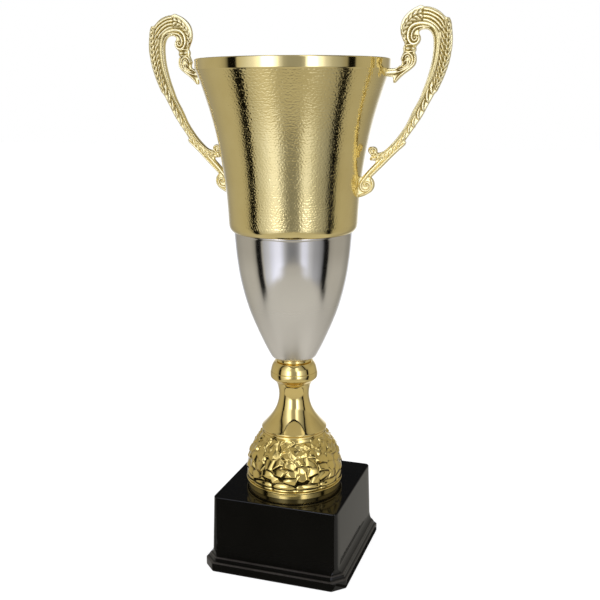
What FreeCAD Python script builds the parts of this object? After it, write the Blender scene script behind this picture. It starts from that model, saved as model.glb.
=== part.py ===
import FreeCAD, Part
import math
import os

# Two-handled cup trophy on a square moulded plinth.
# Millimetres, +Z up, origin on the resting face at the centre of the plinth.
# The handles lie in the XZ plane; the front face of the plinth looks along -Y.

V = FreeCAD.Vector
os.makedirs("parts", exist_ok=True)

# ---------------------------------------------------------------- dimensions
plinth_h = 67.0            # top of the plinth above the table
plinth_half_top = 56.0     # half side of the body at the top
plinth_half_low = 57.4     # half side of the body where it meets the skirt
plinth_low_z = 16.4
plinth_corner_r = 4.0      # rounding of the upright corners of the body
plinth_top_r = 1.3         # rounding round the top face
skirt_half = 64.5          # half side of the upright band of the skirt
skirt_chamfer = 10.0       # corner cut of the skirt
skirt_band_h = 8.5
shell_foot_z = 0.4         # the felt stands this much proud of the shell
shell_wall = 2.6
shell_top_t = 3.2
boss_r = 9.0

felt_t = 2.0
plate_t = 1.6              # closing plate under the plinth
felt_half = 61.0
felt_chamfer = 8.6

weight_half = 46.0         # steel weight plate
weight_t = 8.0
weight_z = 12.6
rib_t = 2.4

rod_d = 6.0                # M6 tie rod
rod_hole_d = 6.6
nut_af = 10.0
nut_h = 5.0
washer_od = 18.0
washer_t = 1.6

ring_r = 41.6              # plain ring under the lip of the dome
lip_r = 43.0
lip_z = 71.6
lip_top_z = 73.4
dome_top_z = 116.5
dome_wall = 2.2

bell_r = 28.8
stem_top_z = 162.0
collar_top_z = 180.1
seat_r = 15.3
seat_top_z = 183.3

bowl_wall = 0.9
bowl_rim_z = 295.3
cup_wall = 1.0
cup_rim_z = 436.1
cup_rim_r = 80.0
cup_band_z = 427.6         # lower edge of the plain band at the rim
cup_hem_t = 1.5
cup_step_r = 48.3          # stepped floor that centres the cup in the bowl
cup_step_h = 2.0

screw_d = 3.0              # M3 handle screws
screw_hole_d = 3.4
screw_len = 9.0
screw_head_d = 5.6
screw_head_h = 1.9
hwasher_od = 7.0
hwasher_t = 0.5

handle_half_t = 2.1        # half thickness of the handle's web
handle_relief_t = 3.2      # half thickness over the raised ornament
handle_gap = 0.05          # handle feet against the plated cup

# ---------------------------------------------------------------- helpers


def p(x, z):
    return V(x, 0, z)


def spline(pts):
    c = Part.BSplineCurve()
    c.interpolate([p(a, b) for a, b in pts])
    return c.toShape()


def line(a, b):
    return Part.makeLine(p(*a), p(*b))


def lathe(edges):
    f = Part.Face(Part.Wire(Part.__sortEdges__(edges)))
    s = f.revolve(V(0, 0, 0), V(0, 0, 1), 360)
    if s.ShapeType != "Solid":
        s = s.Solids[0] if s.Solids else Part.Solid(s.Shells[0])
    if s.Volume < 0:
        s.reverse()
    return s


def normals(pts):
    out = []
    for i in range(len(pts)):
        a = pts[max(i - 1, 0)]
        b = pts[min(i + 1, len(pts) - 1)]
        dx, dz = b[0] - a[0], b[1] - a[1]
        n = math.hypot(dx, dz)
        out.append((dz / n, -dx / n))
    return out


def inset(pts, t):
    """Points moved towards the axis by a wall of thickness t."""
    res = []
    for (x, z), (nx, nz) in zip(pts, normals(pts)):
        if nx < 0:
            nx, nz = -nx, -nz
        res.append((x - nx * t, z - nz * t))
    return res


def chain(pts_or_curves):
    """Consecutive runs: a tuple list with 2 points is a line, more is a spline."""
    edges = []
    for run in pts_or_curves:
        edges.append(line(*run) if len(run) == 2 else spline(run))
    return edges


def poly(pts):
    return [line(pts[i], pts[(i + 1) % len(pts)]) for i in range(len(pts))]


def cyl(r, z0, z1, x=0.0, y=0.0):
    return Part.makeCylinder(r, z1 - z0, V(x, y, z0))


def cyl_dir(r, h, pos, d):
    return Part.makeCylinder(r, h, pos, d)


def hexagon(af, z0, h):
    r = af / math.sqrt(3.0)
    pts = [V(r * math.cos(math.radians(60 * i)), r * math.sin(math.radians(60 * i)), z0) for i in range(6)]
    w = Part.makePolygon(pts + [pts[0]])
    s = Part.Face(w).extrude(V(0, 0, h))
    # corners of the nut are turned off at 30 degrees on both faces
    cone = Part.makeCone(af / 2 * 0.96 + 0.9, af / 2 * 0.96 + 0.9 + h, h * 1.0, V(0, 0, z0))
    cone2 = Part.makeCone(af / 2 * 0.96 + 0.9 + h, af / 2 * 0.96 + 0.9, h * 1.0, V(0, 0, z0))
    return s.common(cone).common(cone2)


def square_ring(half, chamfer, z):
    """Square outline with cut corners, at height z."""
    h, c = half, chamfer
    pts = [(-h + c, -h), (h - c, -h), (h, -h + c), (h, h - c), (h - c, h), (-h + c, h), (-h, h - c), (-h, -h + c)]
    vs = [V(x, y, z) for x, y in pts]
    return Part.makePolygon(vs + [vs[0]])


def square_solid(levels):
    """Ruled stack of cut-corner squares: (half, chamfer, z)."""
    return Part.makeLoft([square_ring(*lv) for lv in levels], True, True)


def tidy(s):
    if s.ShapeType == "Compound" and len(s.Solids) == 1:
        s = s.Solids[0]
    return s


def save(shape, name):
    shape = tidy(shape)
    if not shape.isValid():
        shape = shape.removeSplitter()
    print(name, shape.ShapeType, "solids", len(shape.Solids), "valid", shape.isValid(), "vol %.1f" % shape.Volume)
    shape.exportStep("parts/%s.step" % name)
    return shape


# ---------------------------------------------------------------- plinth shell
def body_loft(top_half, low_half, z_low, z_top, r):
    # six flat faces, so that the front of the plinth is a true plane
    def ring(h, z):
        return [V(-h, -h, z), V(h, -h, z), V(h, h, z), V(-h, h, z)]
    lo, hi = ring(low_half, z_low), ring(top_half, z_top)
    loops = [lo[::-1], hi] + [[lo[i], lo[(i + 1) % 4], hi[(i + 1) % 4], hi[i]] for i in range(4)]
    s = Part.Solid(Part.makeShell([Part.Face(Part.makePolygon(p + [p[0]])) for p in loops]))
    upright = [e for e in s.Edges if abs(e.Vertexes[0].Z - e.Vertexes[1].Z) > 1]
    if r > 0:
        s = s.makeFillet(r, upright)
    return s


taper = (plinth_half_low - plinth_half_top) / (plinth_h - plinth_low_z)
low_at_zero = plinth_half_low + taper * (plinth_low_z - 6.0)
body = body_loft(plinth_half_top, low_at_zero, 6.0, plinth_h, plinth_corner_r)
top_edges = [e for e in body.Edges if all(abs(v.Z - plinth_h) < 1e-6 for v in e.Vertexes)]
body = body.makeFillet(plinth_top_r, top_edges)
# skirt moulding: upright band, small ledge, fillet of an ogee up to the body
skirt = square_solid([
    (skirt_half - 0.5, skirt_chamfer, shell_foot_z),
    (skirt_half, skirt_chamfer, shell_foot_z + 0.6),
    (skirt_half, skirt_chamfer, skirt_band_h - 0.5),
    (skirt_half - 0.5, skirt_chamfer, skirt_band_h),
    (skirt_half - 2.2, skirt_chamfer - 0.6, skirt_band_h + 1.1),
    (skirt_half - 2.5, skirt_chamfer - 0.8, skirt_band_h + 2.4),
    (skirt_half - 3.3, skirt_chamfer - 1.6, skirt_band_h + 3.7),
    (skirt_half - 4.9, skirt_chamfer - 3.0, skirt_band_h + 4.9),
    (skirt_half - 6.1, skirt_chamfer - 5.0, skirt_band_h + 6.3),
    (skirt_half - 6.9, skirt_chamfer - 6.6, skirt_band_h + 8.1),
])
shell = body.fuse(skirt).removeSplitter()
cav_low = low_at_zero - shell_wall
cavity_body = body_loft(plinth_half_top - shell_wall, plinth_half_low + 0.3 - shell_wall, 13.0, plinth_h - shell_top_t, 1.0)
cavity_skirt = square_solid([
    (felt_half - 1.7, felt_chamfer + 0.1, felt_t),
    (felt_half - 1.7, felt_chamfer + 0.1, 8.0),
    (plinth_half_low + 0.3 - shell_wall, 4.0, 13.0),
    (plinth_half_low + 0.3 - shell_wall, 1.0, 13.6),
])
# rebate that takes the closing plate and the felt; the plate sits on its ledge
rebate = square_solid([
    (felt_half + 0.3, felt_chamfer + 0.1, shell_foot_z - 1.0),
    (felt_half + 0.3, felt_chamfer + 0.1, felt_t + plate_t),
])
shell = shell.cut(cavity_body).cut(cavity_skirt).cut(rebate)
# centre boss and four ribs that carry the weight plate
boss_low = weight_z + weight_t
boss = cyl(boss_r, boss_low, plinth_h - shell_top_t + 0.5)
shell = shell.fuse(boss)
rib_reach = plinth_half_top - shell_wall + 0.6
for ang in (0, 90):
    rib = Part.makeBox(2 * rib_reach, rib_t, plinth_h - shell_top_t + 0.5 - boss_low, V(-rib_reach, -rib_t / 2, boss_low))
    rib.rotate(V(0, 0, 0), V(0, 0, 1), ang)
    shell = shell.fuse(rib)
shell = shell.cut(cyl(rod_hole_d / 2, 0, plinth_h + 1)).removeSplitter()
plinth_shell = save(shell, "plinth_shell")

# ---------------------------------------------------------------- weight, felt
wt = square_solid([
    (weight_half - 0.6, 4.4, weight_z), (weight_half, 5.0, weight_z + 0.6),
    (weight_half, 5.0, weight_z + weight_t - 0.6), (weight_half - 0.6, 4.4, weight_z + weight_t)])
wt = wt.cut(cyl(rod_hole_d / 2, 0, 40))
save(wt, "plinth_weight")

felt = square_solid([(felt_half, felt_chamfer, 0.0), (felt_half, felt_chamfer, felt_t)])
save(felt, "base_felt_pad")
# thin plate that carries the felt and closes the plinth from below
tray = square_solid([(felt_half, felt_chamfer, felt_t), (felt_half, felt_chamfer, felt_t + plate_t)])
save(tray, "base_closing_plate")

# ---------------------------------------------------------------- tie rod and its ends
w_top = weight_z
base_washer = cyl(washer_od / 2, w_top - washer_t, w_top).cut(cyl(rod_hole_d / 2 - 0.1, 0, 40))
save(base_washer, "base_washer")
base_nut = hexagon(nut_af, w_top - washer_t - nut_h, nut_h).cut(cyl(rod_d / 2, 0, 40))
save(base_nut, "base_nut")

cup_floor_low = bowl_rim_z - cup_step_h
cup_floor_in = cup_floor_low + cup_wall
rod_low = w_top - washer_t - nut_h - 1.5
rod_top = cup_floor_in + washer_t + nut_h + 2.2
rod = cyl(rod_d / 2, rod_low, rod_top)
ends = [e for e in rod.Edges if len(e.Vertexes) == 1 and e.Curve.TypeId == "Part::GeomCircle"]
rod = rod.makeChamfer(0.6, ends)
save(rod, "tie_rod")
cup_washer = cyl(washer_od / 2, cup_floor_in, cup_floor_in + washer_t).cut(cyl(rod_hole_d / 2 - 0.1, 280, 320))
save(cup_washer, "cup_washer")
cup_nut = hexagon(nut_af, cup_floor_in + washer_t, nut_h).cut(cyl(rod_d / 2, 280, 320))
save(cup_nut, "cup_nut")

# ---------------------------------------------------------------- dome riser
dome_out = [(41.7, 75.2), (42.2, 80.0), (41.9, 86.0), (41.3, 91.5), (40.5, 94.9), (39.3, 98.4), (37.9, 101.9),
            (36.1, 105.1), (33.9, 108.4), (31.2, 112.0), (28.2, dome_top_z)]
dome_in = inset(dome_out, dome_wall)
di_top = (dome_in[-1][0] - 0.8, dome_top_z - dome_wall)
dome_in = dome_in[:-1] + [di_top]
spig_ro, spig_ri, spig_h = 24.0, 21.6, 3.0
edges = chain([
    [(ring_r - dome_wall, plinth_h), (ring_r, plinth_h)],
    [(ring_r, plinth_h), (ring_r, lip_z)],
    [(ring_r, lip_z), (lip_r, lip_z)],
    [(lip_r, lip_z), (lip_r, lip_top_z - 0.5)],
    [(lip_r, lip_top_z - 0.5), (lip_r - 0.5, lip_top_z)],
    [(lip_r - 0.5, lip_top_z), (41.5, lip_top_z + 0.2)],
    [(41.5, lip_top_z + 0.2), dome_out[0]],
    dome_out,
    [dome_out[-1], (spig_ro, dome_top_z)],
    [(spig_ro, dome_top_z), (spig_ro, dome_top_z + spig_h)],
    [(spig_ro, dome_top_z + spig_h), (spig_ri, dome_top_z + spig_h)],
    [(spig_ri, dome_top_z + spig_h), (spig_ri, dome_top_z)],
    [(spig_ri, dome_top_z), (rod_hole_d / 2, dome_top_z)],
    [(rod_hole_d / 2, dome_top_z), (rod_hole_d / 2, dome_top_z - dome_wall)],
    [(rod_hole_d / 2, dome_top_z - dome_wall), di_top],
    dome_in,
    [dome_in[0], (ring_r - dome_wall, plinth_h)],
])
dome = lathe(edges)
save(dome, "dome_riser")

# ---------------------------------------------------------------- bell stem
bell_out = [(28.2, 120.9), (26.9, 122.3), (24.0, 125.6), (21.95, 127.8), (18.6, 132.3), (16.1, 136.7), (14.65, 140.9),
            (13.75, 144.9), (13.3, 148.8), (13.42, 152.8), (14.1, 156.7), (15.0, 159.6), (16.4, stem_top_z)]
bell_wall = 2.0
hollow_top = 146.0
bell_in = [(24.3, dome_top_z + spig_h + 0.6), (22.2, 123.6), (19.4, 127.0), (15.6, 131.6), (12.8, 136.4), (11.0, 141.0), (10.2, hollow_top)]
edges = chain([
    [(24.3, dome_top_z), (bell_r - 0.5, dome_top_z)],
    [(bell_r - 0.5, dome_top_z), (bell_r, dome_top_z + 0.6), (bell_r + 0.05, dome_top_z + 2.2), (bell_r - 0.15, dome_top_z + 3.5), bell_out[0]],
    bell_out,
    [bell_out[-1], (rod_hole_d / 2, stem_top_z)],
    [(rod_hole_d / 2, stem_top_z), (rod_hole_d / 2, hollow_top)],
    [(rod_hole_d / 2, hollow_top), bell_in[-1]],
    bell_in,
    [bell_in[0], (24.3, dome_top_z)],
])
bell = lathe(edges)
save(bell, "bell_stem")

# ---------------------------------------------------------------- collar and seat
edges = chain([
    [(rod_hole_d / 2, stem_top_z), (16.4, stem_top_z)],
    [(16.4, stem_top_z), (19.7, 165.0)],
    [(19.7, 165.0), (20.45, 165.9), (20.75, 167.4), (20.72, 169.8), (20.55, 171.3)],
    [(20.55, 171.3), (20.2, 171.5)],
    [(20.2, 171.5), (19.75, 174.4), (18.95, 176.9), (17.8, 178.9), (16.9, collar_top_z)],
    [(16.9, collar_top_z), (rod_hole_d / 2, collar_top_z)],
    [(rod_hole_d / 2, collar_top_z), (rod_hole_d / 2, stem_top_z)],
])
collar = lathe(edges)
save(collar, "stem_collar")
edges = chain([
    [(rod_hole_d / 2, collar_top_z), (seat_r - 0.3, collar_top_z)],
    [(seat_r - 0.3, collar_top_z), (seat_r + 0.15, collar_top_z + 0.7), (seat_r + 0.3, collar_top_z + 1.6), (seat_r + 0.15, seat_top_z - 0.7), (seat_r - 0.3, seat_top_z)],
    [(seat_r - 0.3, seat_top_z), (rod_hole_d / 2, seat_top_z)],
    [(rod_hole_d / 2, seat_top_z), (rod_hole_d / 2, collar_top_z)],
])
seat = lathe(edges)
save(seat, "bowl_seat_ring")

# ---------------------------------------------------------------- lower bowl (spun sheet)
bowl_out = [(20.6, 187.4), (22.3, 190.6), (25.9, 197.9), (29.2, 205.2), (32.35, 212.5), (35.3, 219.7), (38.0, 226.8),
            (40.3, 233.9), (42.35, 240.9), (44.1, 247.9), (45.6, 254.9), (46.8, 261.8), (47.75, 268.8), (48.4, 274.0),
            (48.9, 279.0), (49.35, 284.2), (49.75, 289.4), (50.2, 294.0)]
bowl_in = inset(bowl_out, bowl_wall)
edges = chain([
    [(rod_hole_d / 2, seat_top_z), (16.2, seat_top_z)],
    [(16.2, seat_top_z), (17.9, 184.0), (19.4, 185.4), bowl_out[0]],
    bowl_out,
    [bowl_out[-1], (50.45, 294.7), (50.4, bowl_rim_z)],
    [(50.4, bowl_rim_z), (49.0, bowl_rim_z)],
    [(49.0, bowl_rim_z), bowl_in[-1]],
    bowl_in,
    [bowl_in[0], (18.6, 186.0), (17.3, 184.8), (15.9, seat_top_z + bowl_wall)],
    [(15.9, seat_top_z + bowl_wall), (rod_hole_d / 2, seat_top_z + bowl_wall)],
    [(rod_hole_d / 2, seat_top_z + bowl_wall), (rod_hole_d / 2, seat_top_z)],
])
bowl = lathe(edges)
save(bowl, "lower_bowl")

# ---------------------------------------------------------------- upper cup (spun sheet)
cup_out = [(54.55, 302.0), (55.05, 311.5), (55.72, 321.7), (57.75, 341.0), (61.05, 362.0), (65.05, 381.1), (69.2, 396.6),
           (73.4, 410.0), (79.3, cup_band_z - 0.5)]
cup_in = inset(cup_out, cup_wall)
hem_in = cup_rim_r - cup_hem_t
edges = chain([
    [(rod_hole_d / 2, cup_floor_low), (cup_step_r - 0.5, cup_floor_low)],
    [(cup_step_r - 0.5, cup_floor_low), (cup_step_r, cup_floor_low + 0.5)],
    [(cup_step_r, cup_floor_low + 0.5), (cup_step_r, bowl_rim_z)],
    [(cup_step_r, bowl_rim_z), (50.6, bowl_rim_z)],
    [(50.6, bowl_rim_z), (51.6, 295.75), (52.75, 296.9), (53.7, 298.4), (54.3, 300.2), cup_out[0]],
    cup_out,
    [cup_out[-1], (79.75, cup_band_z)],
    [(79.75, cup_band_z), (cup_rim_r, cup_rim_z - 0.8)],
    [(cup_rim_r, cup_rim_z - 0.8), (cup_rim_r - 0.22, cup_rim_z - 0.2), (cup_rim_r - cup_hem_t / 2, cup_rim_z),
     (hem_in + 0.22, cup_rim_z - 0.2), (hem_in, cup_rim_z - 0.8)],
    [(hem_in, cup_rim_z - 0.8), (hem_in - 0.15, cup_band_z + 0.4)],
    [(hem_in - 0.15, cup_band_z + 0.4), cup_in[-1]],
    cup_in,
    [cup_in[0], (53.3, 300.6), (52.6, 299.0), (51.6, 297.7), (50.6, 296.9)],
    [(50.6, 296.9), (49.3, 296.3)],
    [(49.3, 296.3), (cup_step_r - cup_wall, cup_floor_in + 0.5)],
    [(cup_step_r - cup_wall, cup_floor_in + 0.5), (cup_step_r - cup_wall - 0.5, cup_floor_in)],
    [(cup_step_r - cup_wall - 0.5, cup_floor_in), (rod_hole_d / 2, cup_floor_in)],
    [(rod_hole_d / 2, cup_floor_in), (rod_hole_d / 2, cup_floor_low)],
])
cup = lathe(edges)

# the space the cup takes, a little larger, used to trim the handle feet to it
g = handle_gap
trim_pts = [(a + g, b) for a, b in cup_out]
edges = chain([
    [(0.0, 295.0), (51.0, 295.0)],
    [(51.0, 295.0), (51.6 + g, 295.7), (52.75 + g, 296.85), (53.7 + g, 298.35), (54.3 + g, 300.2), trim_pts[0]],
    trim_pts,
    [trim_pts[-1], (79.75 + g, cup_band_z - g)],
    [(79.75 + g, cup_band_z - g), (cup_rim_r + g, cup_rim_z)],
    [(cup_rim_r + g, cup_rim_z), (0.0, cup_rim_z)],
    [(0.0, cup_rim_z), (0.0, 295.0)],
])
cup_space = lathe(edges)

# ---------------------------------------------------------------- handles
# outline of one handle in the XZ plane, corner by corner, clockwise from the upper foot
H = [
    [(78.0, 427.5), (84.5, 427.6)],
    [(84.5, 427.6), (87.8, 428.1), (89.8, 429.5), (90.7, 431.6), (90.5, 433.4)],
    [(90.5, 433.4), (89.8, 434.6), (90.3, 436.4), (91.2, 438.6), (91.9, 440.4)],
    [(91.9, 440.4), (91.5, 441.8), (91.6, 443.6), (92.6, 445.2)],
    [(92.6, 445.2), (91.9, 448.4), (90.2, 451.4), (89.2, 455.0), (89.1, 458.6), (89.9, 462.6), (91.8, 466.2), (94.3, 468.9),
     (97.0, 471.0), (100.0, 472.7), (102.4, 473.7), (104.2, 474.6)],
    [(104.2, 474.6), (106.2, 474.0)],
    [(106.2, 474.0), (107.2, 473.5)],
    [(107.2, 473.5), (110.4, 473.3), (113.4, 472.6), (117.4, 470.9), (120.6, 468.6), (123.0, 466.3), (124.2, 465.3)],
    [(124.2, 465.3), (126.8, 464.9)],
    [(126.8, 464.9), (128.0, 462.4), (128.9, 457.6), (129.5, 452.6), (129.7, 447.6), (129.5, 443.0), (128.6, 437.5), (127.4, 431.5),
     (125.9, 426.4), (123.9, 420.9), (121.4, 414.9), (119.2, 410.2)],
    [(119.2, 410.2), (116.7, 407.6)],
    [(116.7, 407.6), (114.4, 403.3), (112.0, 398.9), (110.4, 395.8), (107.4, 390.2), (103.8, 384.9), (100.3, 379.8), (96.6, 374.6), (94.5, 371.4)],
    [(94.5, 371.4), (95.5, 370.1)],
    [(95.5, 370.1), (94.8, 368.8)],
    [(94.8, 368.8), (86.3, 361.0)],
    [(86.3, 361.0), (66.7, 341.6)],
    [(66.7, 341.6), (66.5, 340.2), (68.5, 339.0), (69.8, 336.5), (69.6, 333.9), (68.6, 331.6), (66.5, 329.6), (63.9, 327.7), (60.9, 326.2), (57.5, 325.3)],
    [(57.5, 325.3), (54.0, 325.2)],
    [(54.0, 325.2), (56.0, 341.9)],
    [(56.0, 341.9), (59.9, 342.2)],
    [(59.9, 342.2), (66.4, 349.2)],
    [(66.4, 349.2), (71.0, 354.0)],
    [(71.0, 354.0), (70.9, 355.4)],
    [(70.9, 355.4), (66.6, 355.5)],
    [(66.6, 355.5), (66.0, 356.9), (67.0, 359.0), (65.4, 361.4), (64.6, 363.6), (65.3, 365.8), (67.7, 366.6), (70.2, 365.6), (71.0, 363.4), (71.3, 362.0)],
    [(71.3, 362.0), (74.3, 362.1), (77.4, 363.2), (80.5, 365.6), (85.2, 370.3), (90.4, 376.8), (96.3, 386.1), (100.2, 394.6), (103.6, 400.7),
     (106.1, 405.8), (108.0, 411.0), (110.0, 416.4), (111.9, 422.4), (113.5, 428.6), (114.7, 434.8), (115.3, 441.0), (115.3, 446.6), (114.7, 451.2),
     (113.2, 454.2), (110.8, 456.2), (107.8, 456.7), (105.2, 456.3), (103.6, 455.2)],
    [(103.6, 455.2), (103.5, 454.2), (104.5, 452.2), (104.9, 449.8), (104.4, 447.4), (103.0, 445.4), (101.8, 444.2)],
    [(101.8, 444.2), (101.4, 442.8), (101.8, 441.2), (100.9, 440.0)],
    [(100.9, 440.0), (101.2, 437.4), (101.7, 434.2), (101.1, 431.0), (99.6, 428.7), (96.4, 426.2), (92.2, 422.8), (89.3, 420.2), (87.3, 418.2), (85.7, 416.5)],
    [(85.7, 416.5), (84.3, 416.5)],
    [(84.3, 416.5), (84.0, 420.9)],
    [(84.0, 420.9), (77.0, 421.8)],
    [(77.0, 421.8), (78.0, 427.5)],
]


def handle_outline():
    return Part.Wire(chain(H))


outline = handle_outline()
web = Part.Face(outline).extrude(V(0, 2 * handle_half_t, 0))
web.translate(V(0, -handle_half_t, 0))
handle = web

# raised bands that follow the sweep of the handle, proud of the web on both faces
def band(run, half_w, half_t):
    """Flat raised band along a run of points in the XZ plane."""
    left, right = [], []
    for (x, z), (nx, nz) in zip(run, normals(run)):
        left.append((x + nx * half_w, z + nz * half_w))
        right.append((x - nx * half_w, z - nz * half_w))
    ed = [spline(left), line(left[-1], right[-1]), spline(right), line(right[0], left[0])]
    f = Part.Face(Part.Wire(Part.__sortEdges__(ed)))
    s = f.extrude(V(0, 2 * half_t, 0))
    s.translate(V(0, -half_t, 0))
    return s


inner_run = [(95.2, 381.6), (99.8, 388.6), (104.4, 397.6), (108.6, 407.0), (112.2, 417.0), (115.1, 427.4), (117.0, 437.4), (117.4, 446.6), (116.0, 453.4), (112.6, 457.8), (107.6, 459.6), (102.6, 459.0), (98.6, 456.2), (96.6, 452.4), (96.8, 449.2), (98.6, 447.2)]
outer_run = [(118.6, 415.6), (121.6, 424.6), (124.0, 434.0), (125.2, 443.6), (125.0, 452.4), (123.2, 459.4), (119.2, 464.8), (113.2, 468.2), (106.6, 469.2), (100.4, 467.8), (95.6, 464.4), (92.8, 459.6), (92.4, 454.8)]
low_run = [(69.4, 347.6), (76.6, 355.0), (84.0, 362.6), (91.4, 370.4), (98.4, 380.2), (105.4, 392.4), (111.6, 404.4)]
handle = handle.fuse([band(inner_run, 1.5, handle_relief_t - 0.3), band(outer_run, 2.6, handle_relief_t), band(low_run, 1.7, handle_relief_t - 0.4)])
eyes = [
    ((100.3, 450.2), 3.3, handle_relief_t + 0.2),
    ((68.0, 362.6), 2.1, handle_relief_t - 0.5),
    ((63.6, 334.2), 4.4, handle_relief_t - 0.2),
    ((95.6, 434.6), 4.3, handle_relief_t),
]
for (x, z), r, t in eyes:
    handle = handle.fuse(Part.makeCylinder(r, 2 * t, V(x, -t, z), V(0, 1, 0)))
for x in (94.2, 99.0):
    handle = handle.fuse(Part.makeCylinder(1.9, 2 * handle_relief_t, V(x, -handle_relief_t, 442.3), V(0, 1, 0)))
# upper foot is thicker where it takes its screw
foot = Part.makeBox(12.0, 6.4, 5.9, V(77.0, -3.2, 421.9))
handle = handle.fuse(foot)
lower_pad = Part.makeBox(12.0, 6.4, 12.0, V(53.0, -3.2, 328.4))
handle = handle.fuse(lower_pad)
handle = handle.cut(cup_space).removeSplitter()
if len(handle.Solids) > 1:
    handle = max(handle.Solids, key=lambda s: s.Volume)

# screw stations: point on the outer wall and outward direction square to the wall
def station(z):
    pts = cup_out
    for (r0, z0), (r1, z1) in zip(pts, pts[1:]):
        if z0 <= z <= z1:
            k = (z - z0) / (z1 - z0)
            r = r0 + (r1 - r0) * k
            dr = (r1 - r0) / (z1 - z0)
            n = math.hypot(1.0, dr)
            return r, (1.0 / n, -dr / n)
    raise ValueError(z)


stations = [station(425.2) + (425.2,), station(334.6) + (334.6,)]
screws, washers, cup_holes = [], [], []
for r, (nx, nz), z in stations:
    for side in (1, -1):
        d = V(side * nx, 0, nz)
        wall_in = V(side * r, 0, z) - d * (cup_wall + 0.16)
        handle_hole = Part.makeCylinder(screw_d / 2 + 0.03, screw_len + 4, wall_in, d)
        if side == 1:
            handle = handle.cut(handle_hole)
        cup_holes.append(Part.makeCylinder(screw_hole_d / 2, 8.0, V(side * r, 0, z) - d * 4.0, d))
        w = Part.makeCylinder(hwasher_od / 2, hwasher_t, wall_in - d * hwasher_t, d)
        w = w.cut(Part.makeCylinder(screw_d / 2 + 0.1, 5, wall_in - d * 2.5, d))
        washers.append(w)
        head_at = wall_in - d * (hwasher_t + screw_head_h)
        s = Part.makeCylinder(screw_head_d / 2, screw_head_h, head_at, d)
        rim = [e for e in s.Edges if e.Curve.TypeId == "Part::GeomCircle" and (e.Curve.Center - head_at).Length < 1e-3]
        s = s.makeFillet(0.8, rim)
        # cross recess in the head
        for a in (0, 90):
            slot = Part.makeBox(3.2, 0.8, 2.2, V(-1.6, -0.4, -1.1))
            slot.rotate(V(0, 0, 0), V(0, 0, 1), a)
            slot.Placement = FreeCAD.Placement(head_at, FreeCAD.Rotation(V(0, 0, 1), d)).multiply(slot.Placement)
            s = s.cut(slot)
        s = s.fuse(Part.makeCylinder(screw_d / 2, screw_len + hwasher_t, wall_in - d * hwasher_t, d)).removeSplitter()
        screws.append(s)

cup = cup.cut(Part.makeCompound(cup_holes))
save(cup, "upper_cup")
save(Part.makeCompound(screws), "handle_screws")
save(Part.makeCompound(washers), "handle_washers")

handle = tidy(handle)
save(handle, "handle_right")
left = handle.mirror(V(0, 0, 0), V(1, 0, 0))
save(left, "handle_left")
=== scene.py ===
import math

import bpy
import numpy as np
from mathutils import Matrix, Vector


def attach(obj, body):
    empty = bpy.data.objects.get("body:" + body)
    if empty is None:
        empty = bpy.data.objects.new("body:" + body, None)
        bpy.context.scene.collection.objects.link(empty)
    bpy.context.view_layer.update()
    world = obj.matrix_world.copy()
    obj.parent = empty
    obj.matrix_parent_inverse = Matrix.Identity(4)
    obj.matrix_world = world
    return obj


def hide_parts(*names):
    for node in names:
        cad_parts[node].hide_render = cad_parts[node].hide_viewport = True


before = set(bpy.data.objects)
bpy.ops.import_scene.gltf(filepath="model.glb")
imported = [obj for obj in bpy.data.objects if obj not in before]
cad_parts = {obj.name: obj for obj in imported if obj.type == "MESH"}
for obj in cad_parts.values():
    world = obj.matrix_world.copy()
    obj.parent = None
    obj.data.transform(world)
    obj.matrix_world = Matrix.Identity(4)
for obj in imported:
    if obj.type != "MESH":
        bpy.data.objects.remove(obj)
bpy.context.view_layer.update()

# Everything below is worked in millimetres and turned into metres when a mesh is made.
MM = 0.001
RNG = np.random.default_rng(7)

# ------------------------------------------------------------------ camera
PSI = 0.3285           # camera stands this far towards +X from straight in front (radians)
CAM_D = 0.75277
CAM_H = 0.40805
PITCH = 0.22665
ROLL = 0.00428
FOCAL = 891.716 / 600 * 36.0

toward = Vector((math.sin(PSI), -math.cos(PSI), 0.0))
right0 = Vector((math.cos(PSI), math.sin(PSI), 0.0))
fwd = (-toward * math.cos(PITCH)) + Vector((0, 0, -math.sin(PITCH)))
up0 = (-toward * math.sin(PITCH)) + Vector((0, 0, math.cos(PITCH)))
cr, sr = math.cos(ROLL), math.sin(ROLL)
xc = right0 * cr - up0 * sr
yc = right0 * sr + up0 * cr
cam_data = bpy.data.cameras.new("camera")
cam_data.sensor_width = 36.0
cam_data.lens = FOCAL
cam_data.shift_x = 0.01055
cam_data.clip_start = 0.01
cam_data.clip_end = 50.0
cam = bpy.data.objects.new("camera", cam_data)
bpy.context.scene.collection.objects.link(cam)
m = Matrix((
    (xc.x, yc.x, -fwd.x, toward.x * CAM_D),
    (xc.y, yc.y, -fwd.y, toward.y * CAM_D),
    (xc.z, yc.z, -fwd.z, CAM_H),
    (0, 0, 0, 1),
))
cam.matrix_world = m
bpy.context.scene.camera = cam
bpy.context.scene.view_settings.view_transform = "Standard"


# ------------------------------------------------------------------ node helpers
def new_mat(name):
    mat = bpy.data.materials.new(name)
    mat.use_nodes = True
    nt = mat.node_tree
    nt.nodes.clear()
    out = nt.nodes.new("ShaderNodeOutputMaterial")
    bsdf = nt.nodes.new("ShaderNodeBsdfPrincipled")
    nt.links.new(bsdf.outputs[0], out.inputs[0])
    return mat, nt, bsdf


def math_node(nt, op, a, b=None, clamp=False):
    n = nt.nodes.new("ShaderNodeMath")
    n.operation = op
    n.use_clamp = clamp
    for i, v in enumerate((a, b)):
        if v is None:
            continue
        if isinstance(v, (int, float)):
            n.inputs[i].default_value = v
        else:
            nt.links.new(v, n.inputs[i])
    return n.outputs[0]


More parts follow.
